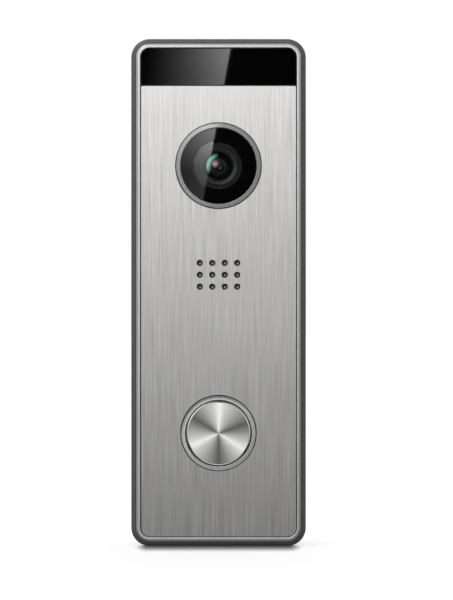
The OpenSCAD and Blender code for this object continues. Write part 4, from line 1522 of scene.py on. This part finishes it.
@dataclass(frozen=True)
class Rear:
    """The rear cover, its screws, the wall bracket and the locking screw."""

    casing: Casing
    sheet: float = 1.2
    wall_hole_radius: float = 2.25
    wall_hole_spacing: float = 100.0
    window_width: float = 22.0
    window_height: float = 25.0
    cover_hole: float = 1.5
    header_gap: float = 1.2
    rotor_gap: float = 0.5
    knob_travel: float = 1.0
    head_height: float = 1.5
    screw_shank: float = 1.35
    hook_gap: float = 2.2
    flange_inset: float = 12.0
    flange_back: float = 0.3

    def build(self) -> None:
        """Makes the rear pieces."""
        self.build_cover()
        self.build_screws()
        self.build_bracket()
        self.build_lock_screw()

    def build_cover(self) -> None:
        """The cover, with its screw holes, the header's opening and the adjusters' holes."""
        box, header = node("rear_cover"), node("terminal_header")
        knob, rotor, gap = node("format_switch_knob"), node("trimmer_rotor"), self.header_gap
        holes: list[Loop] = [
            *[RoundHole(s.centre, self.cover_hole, steps=32) for s in solids("cover_screws")],
            self.window(header.centre, header.width + gap, header.height + gap, 0.6),
            RoundHole(rotor.centre, rotor.width / 2 + self.rotor_gap, steps=40),
            self.window((knob.x + self.knob_travel, knob.z), 5.2, 3.0, 0.5),
        ]
        outer = box_loop(box, self.casing.concentric(box))
        lid = plate(outer, holes, box.back, box.front, 0.15)
        make_piece("rear_lid", lid, BLACK_PLASTIC, "rear_cover")

    @staticmethod
    def window(
        centre: tuple[float, float], width: float, height: float, radius: float
    ) -> RoundedLoop:
        """A rectangular hole about a centre."""
        (x, z), w, h = centre, width / 2, height / 2
        return RoundedLoop(x - w, x + w, z - h, z + h, (radius,) * 4, hole=True, steps=6)

    def build_screws(self) -> None:
        """The cover's pan-head screws, with crossed recesses in their heads."""
        parts = []
        for box in solids("cover_screws"):
            seat = box.back + self.head_height
            head = RoundHole(box.centre, box.width / 2, hole=False, steps=48)
            recess = cross_hole(box.centre, 1.3, 0.5)
            parts.append(plate(head, [recess], box.back, seat, 0.1, 0.3))
            shank = disc(self.screw_shank, seat - 0.6, box.front, 0, 0.3)
            parts.append(turned(shank, box.centre, False, 32))
        make_piece("lid_screws", joined(parts), SCREW_STEEL, "cover_screws")

    def build_bracket(self) -> None:
        """The bracket: a bent steel sheet with a cable window, two wall holes and two hooks."""
        box, t = node("wall_bracket"), self.sheet
        low, high = box.low, -box.low
        holes: list[Loop] = [
            *[RoundHole((0.0, side * self.wall_hole_spacing / 2), self.wall_hole_radius, steps=64)
              for side in (-1, 1)],
            self.window(node("terminal_header").centre, self.window_width, self.window_height, 2.0),
        ]
        corners = (self.casing.concentric(box),) * 4
        base = plate(RoundedLoop(box.left, box.right, low, high, corners), holes, 0, t, 0.15)
        back, side = self.flange_back, node("rear_cover").back - self.hook_gap
        foot, head = low + self.flange_inset, high - self.flange_inset
        hook_back = t + self.hook_gap
        hook = hook_back + t
        flanges = [
            Extent(box.left, box.left + t, foot, head, back, side),
            Extent(box.right - t, box.right, foot, head, back, side),
            Extent(-16, 16, high - t, high, back, hook),
            Extent(-6, 6, low, low + t, back, box.front),
            *[Extent(x - 3, x + 3, high - 0.6, box.high, hook_back, hook) for x in (-10, 10)],
        ]
        shape = joined([base, *[block(flange, 0.12) for flange in flanges]])
        finish = ZincSheet("galvanised_sheet", (0.66, 0.67, 0.68))
        make_piece("steel_wall_bracket", shape, finish, "wall_bracket")

    def build_lock_screw(self) -> None:
        """The locking screw, countersunk in the bottom wall, with a six-sided socket.

        It is shaped along the depth about the origin, then turned to stand upright: depth becomes
        height, and z becomes depth.
        """
        box = node("lock_screw")
        head, shank, length = box.width / 2, box.width / 2 - 1, box.high - box.low
        hexagon = StarHole((0, 0), (1.05,) * 6, tuple(range(0, 360, 60)))
        top = plate(RoundHole((0, 0), head, hole=False, steps=64), [hexagon], 0, 0.3, 0.08)
        outline = section([
            (0, 0.9, 0), (0.9, 0.9, 0), (0.9, 0.25, 0), (head, 0.25, 0), (shank, 1.4, 0.1),
            (shank, length, 0.3), (0, length, 0),
        ], False)
        shape = top + turned(outline, (0, 0), False, 64)
        x, depth, z = shape.points.T
        middle = (box.back + box.front) / 2
        shape.points = np.stack([x + box.x, z + middle, depth + box.low], axis=1)
        make_piece("security_screw", shape, SCREW_STEEL, "lock_screw")


class Insides:
    """The CAD nodes that keep their shape, each with its own finish."""

    def finishes(self) -> dict[str, Finish]:
        """The finish of each node.

        Returns:
            Node name to finish.
        """
        board = CircuitBoard("green_board")
        white = Moulded("connector_nylon", (0.78, 0.75, 0.66), 0.45)
        chip = Moulded("chip_epoxy", (0.014, 0.014, 0.015), 0.6, 0.02)
        wires = Moulded("red_wire_jacket", (0.42, 0.015, 0.012), 0.35)
        lens = Polished("inner_glass", (0.03, 0.05, 0.05), 0.04)
        can = PlainMetal("aluminium_can", (0.72, 0.73, 0.74), 0.3)
        tin = PlainMetal("tinned_can", (0.6, 0.6, 0.61), 0.24)
        gold = PlainMetal("gold_plated_pin", (0.8, 0.6, 0.28), 0.25)
        return {
            "plate_adhesive": BLACK_FOAM, "window_adhesive": BLACK_FOAM,
            "camera_glass_seal": BLACK_RUBBER, "light_shield": BLACK_FOAM,
            "lens_rear_element": lens, "lens_holder": BLACK_PLASTIC,
            "infrared_filter": Polished("filter_glass", (0.16, 0.03, 0.05), 0.04),
            "image_sensor": Polished("sensor_face", (0.02, 0.03, 0.05), 0.08),
            "camera_board": board, "ir_board": board, "main_board": board,
            "camera_chips": chip, "main_chips": chip,
            "ir_leds": Moulded("lamp_epoxy", (0.5, 0.52, 0.54), 0.15, 0.002),
            "light_sensor": Moulded("sensor_epoxy", (0.55, 0.5, 0.42), 0.18, 0.002),
            "ir_wires": wires, "speaker_leads": wires, "ribbon_connectors": white,
            "camera_ribbon": Moulded("ribbon_film", (0.74, 0.74, 0.72), 0.3, 0.004),
            "speaker_gasket": BLACK_FOAM,
            "speaker_frame": PlainMetal("speaker_basket", (0.05, 0.05, 0.05), 0.4),
            "speaker_cone": Moulded("speaker_film", (0.03, 0.03, 0.03), 0.5, 0.02),
            "speaker_magnet": tin, "microphone": can, "microphone_boot": BLACK_RUBBER,
            "button_stem": Moulded("stem_acetal", (0.72, 0.72, 0.68), 0.4),
            "button_clip": SPRING_STEEL, "button_guide": BLACK_PLASTIC, "guide_seal": BLACK_RUBBER,
            "guide_screws": SCREW_STEEL, "call_switch_body": BLACK_PLASTIC,
            "call_switch_plunger": Moulded("switch_plunger_red", (0.45, 0.02, 0.015), 0.4),
            "board_screws": SCREW_STEEL, "capacitors": can,
            "surface_parts": Moulded("fired_ceramic", (0.2, 0.13, 0.08), 0.35),
            "terminal_header": white, "terminal_pins": gold,
            "trimmer_body": Moulded("trimmer_blue", (0.02, 0.06, 0.3), 0.35),
            "trimmer_rotor": Moulded("trimmer_white", (0.75, 0.73, 0.66), 0.4),
            "format_switch_body": tin, "format_switch_knob": BLACK_PLASTIC,
            "rear_gasket": BLACK_RUBBER,
        }

    def build(self) -> None:
        """Dresses every node."""
        for name, finish in self.finishes().items():
            dress(name, finish)


# ---------------------------------------------------------------- studio


@dataclass(frozen=True)
class Studio:
    """Camera, floor, lights, and the card that the polished pieces reflect."""

    distance: float = 1100.0
    view_height: float = 178.6
    aim: tuple[float, float] = (2.37, -2.23)
    aim_depth: float = 20.5
    card_behind: float = 40.0
    sensor_width: float = 36.0
    floor_gap: float = 0.05
    floor_reach: float = 6000.0
    shadow_inset: float = 5.3
    patch_reach: float = 54.0
    patch_fall: float = 2.1
    patch_strength: float = 4.6

    def build(self) -> None:
        """Sets up everything that isn't part of the object."""
        scene = bpy.context.scene
        scene.view_settings.view_transform = "Standard"
        scene.view_settings.look = "None"
        self.build_camera(scene)
        self.build_floor()
        self.build_world(scene)
        self.build_card()
        self.build_lights()

    def build_camera(self, scene: bpy.types.Scene) -> None:
        """A long lens, level, square to the front."""
        data = bpy.data.cameras.new("camera")
        data.sensor_width = self.sensor_width
        data.lens = self.sensor_width * (self.distance - self.aim_depth) / self.view_height
        camera = bpy.data.objects.new("camera", data)
        camera.location = (self.aim[0] * MM, -self.distance * MM, self.aim[1] * MM)
        camera.rotation_euler = (math.pi / 2, 0, 0)
        scene.collection.objects.link(camera)
        scene.camera = camera

    @staticmethod
    def add_sheet(
        name: str, corners: Sequence[Sequence[float]], material: bpy.types.Material
    ) -> bpy.types.Object:
        """A flat four-cornered sheet in millimetres that belongs to the studio."""
        mesh = bpy.data.meshes.new(name)
        mesh.from_pydata((np.array(corners) * MM).tolist(), [], [[0, 1, 2, 3]])
        mesh.materials.append(material)
        sheet = bpy.data.objects.new(name, mesh)
        bpy.context.scene.collection.objects.link(sheet)
        return sheet

    def build_floor(self) -> None:
        """A white floor under the panel, with a soft shadow painted into its glow where the two
        meet.

        The floor's glow rises with the distance from the line of the panel's foot, so it is dark
        beside the foot and melts into the background further off. It lies a hair below the panel,
        so that the two never share a plane.
        """
        material = bpy.data.materials.new("pale_floor")
        tree = ShaderTree(material)
        x, depth, _ = tree.place()
        body = node("housing")
        dark_half = body.width / 2 - self.shadow_inset
        beside = 6.0 * tree.math("MAXIMUM", tree.math("ABSOLUTE", x) - dark_half, 0.0)
        ahead = tree.math("MAXIMUM", depth - (body.front - 1), 3.0 * (body.front - 1 - depth))
        away = tree.length(beside, ahead)
        # Painted shadow: the glow is near black at the foot and rises to white further off.
        near, far = away.step(4, 28), away.step(50, 300)
        glow = tree.mix(near, (0.01, 0.01, 0.01), (0.78, 0.78, 0.785))
        glow = tree.mix(far, glow, (1.0, 1.0, 1.0))
        tree.surface(
            Base_Color=(0.08, 0.08, 0.08),
            Roughness=0.9,
            Emission_Color=glow,
            Emission_Strength=1.0,
        )
        z, reach = body.low - self.floor_gap, self.floor_reach
        corners = [(-reach, -reach, z), (reach, -reach, z), (reach, reach, z), (-reach, reach, z)]
        floor = self.add_sheet("floor", corners, material)
        floor.visible_glossy = False

    def build_world(self, scene: bpy.types.Scene) -> None:
        """White for the camera, and a soft dome that is brighter above for everything else."""
        world = bpy.data.worlds.new("studio")
        scene.world = world
        tree = ShaderTree(world)
        way = tree.node("ShaderNodeTexCoord", {}, {}).outputs["Generated"]
        up = Value(tree, tree.node("ShaderNodeSeparateXYZ", {}, {0: way}).outputs[2])
        dome = up.step(-0.8, 0.8, 0.3, 0.85)
        seen = Value(tree, tree.node("ShaderNodeLightPath", {}, {}).outputs["Is Camera Ray"])
        strength = seen + (1 - seen) * dome
        sockets = {"Color": (1.0, 1.0, 1.0), "Strength": strength}
        back = tree.node("ShaderNodeBackground", {}, sockets)
        tree.node("ShaderNodeOutputWorld", {}, {"Surface": back.outputs[0]})

    @staticmethod
    def fall(tree: ShaderTree, z: Value) -> Value:
        """How bright a card is at a height: dim below, bright above, as a power of the height."""
        sockets = {0: (z + 190.0) / 380.0, 1: 0.0, 2: 1.15}
        return Value(tree, tree.node("ShaderNodeClamp", {}, sockets).outputs[0]) ** 1.5

    @staticmethod
    def emit(tree: ShaderTree, strength: Value) -> None:
        """Ends a card's tree in a light."""
        sockets = {"Color": (1.0, 0.998, 0.99), "Strength": strength}
        light = tree.node("ShaderNodeEmission", {}, sockets)
        tree.node("ShaderNodeOutputMaterial", {}, {"Surface": light.outputs[0]})

    def add_card(
        self, name: str, corners: Sequence[Sequence[float]], material: bpy.types.Material
    ) -> None:
        """A card that lights and is mirrored, but isn't seen and casts no shadow."""
        card = self.add_sheet(name, corners, material)
        card.visible_camera = False
        card.visible_shadow = False

    def build_card(self) -> None:
        """A card behind the camera. The panel's flat front mirrors it at twice its own size.

        It is bright at the top and dim at the bottom, and brighter on the left than on the right.
        Over the middle lies an upright patch that is black to the right of a slanting line. To
        its left the patch is brightest beside the line and fades out over the patch's reach.
        """
        material = bpy.data.materials.new("card_light")
        tree = ShaderTree(material)
        x, _, z = tree.place()
        broad = (0.165 + 2.31 * self.fall(tree, z)) * x.step(-300, 300, 1.8, 0.2)
        line = 4.2 - (147.0 - z) * 0.182
        left = line - x
        lit = left.step(-0.4, 0.4)
        share = 1 - tree.math("MAXIMUM", left, 0.0) / self.patch_reach
        across = tree.math("MAXIMUM", share, 0.0) ** self.patch_fall
        top = z.step(106, 130, 1.0, 0.74) + z.step(130, 150, 0.0, 0.3)
        glow = across * (z.step(73, 106, 0.165, 1.0) * top) * self.patch_strength
        beside = 1 - tree.math("ABSOLUTE", x).step(58, 64)
        inner = beside * z.step(30, 36) * (1 - z.step(156, 162))
        self.emit(tree, inner * lit * glow + (1 - inner) * broad)
        y, w, low, high = -self.distance - self.card_behind, 900, -500, 700
        corners = [(-w, y, low), (w, y, low), (w, y, high), (-w, y, high)]
        self.add_card("light_card", corners, material)
        self.build_side_cards()

    def build_side_cards(self) -> None:
        """Two upright cards beside the panel, which its sloping edges mirror."""
        y, near, low, high = -900, 500, -400, 600
        for name, side, base, top in (("left_card", -1, 0.38, 0.72), ("right_card", 1, 0.24, 0.57)):
            material = bpy.data.materials.new(name)
            tree = ShaderTree(material)
            _, _, z = tree.place()
            self.emit(tree, base + top * self.fall(tree, z))
            x = 420 * side
            corners = [(x, y, low), (x, near, low), (x, near, high), (x, y, high)]
            self.add_card(name, corners, material)

    def build_lights(self) -> None:
        """A broad soft light from the upper left, and a weaker one from the right."""
        for name, place, size, power in (
            ("key_light", (-700, -700, 1100), 900, 14),
            ("fill_light", (900, -500, 700), 900, 5),
            ("back_light", (0, 1200, 900), 1200, 8),
        ):
            data = bpy.data.lights.new(name, "AREA")
            data.size = size * MM
            data.energy = power
            light = bpy.data.objects.new(name, data)
            light.location = Vector(place) * MM
            light.rotation_euler = Vector(place).to_track_quat("Z", "Y").to_euler()
            bpy.context.scene.collection.objects.link(light)


def main() -> None:
    """Builds the model in order."""
    logging.basicConfig(level=logging.INFO, format="%(name)s: %(message)s")
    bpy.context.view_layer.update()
    casing = Casing()
    casing.build()
    Front(casing).build()
    Camera().build()
    CallButton().build()
    Rear(casing).build()
    Insides().build()
    Studio().build()


if __name__ == "__main__":
    main()
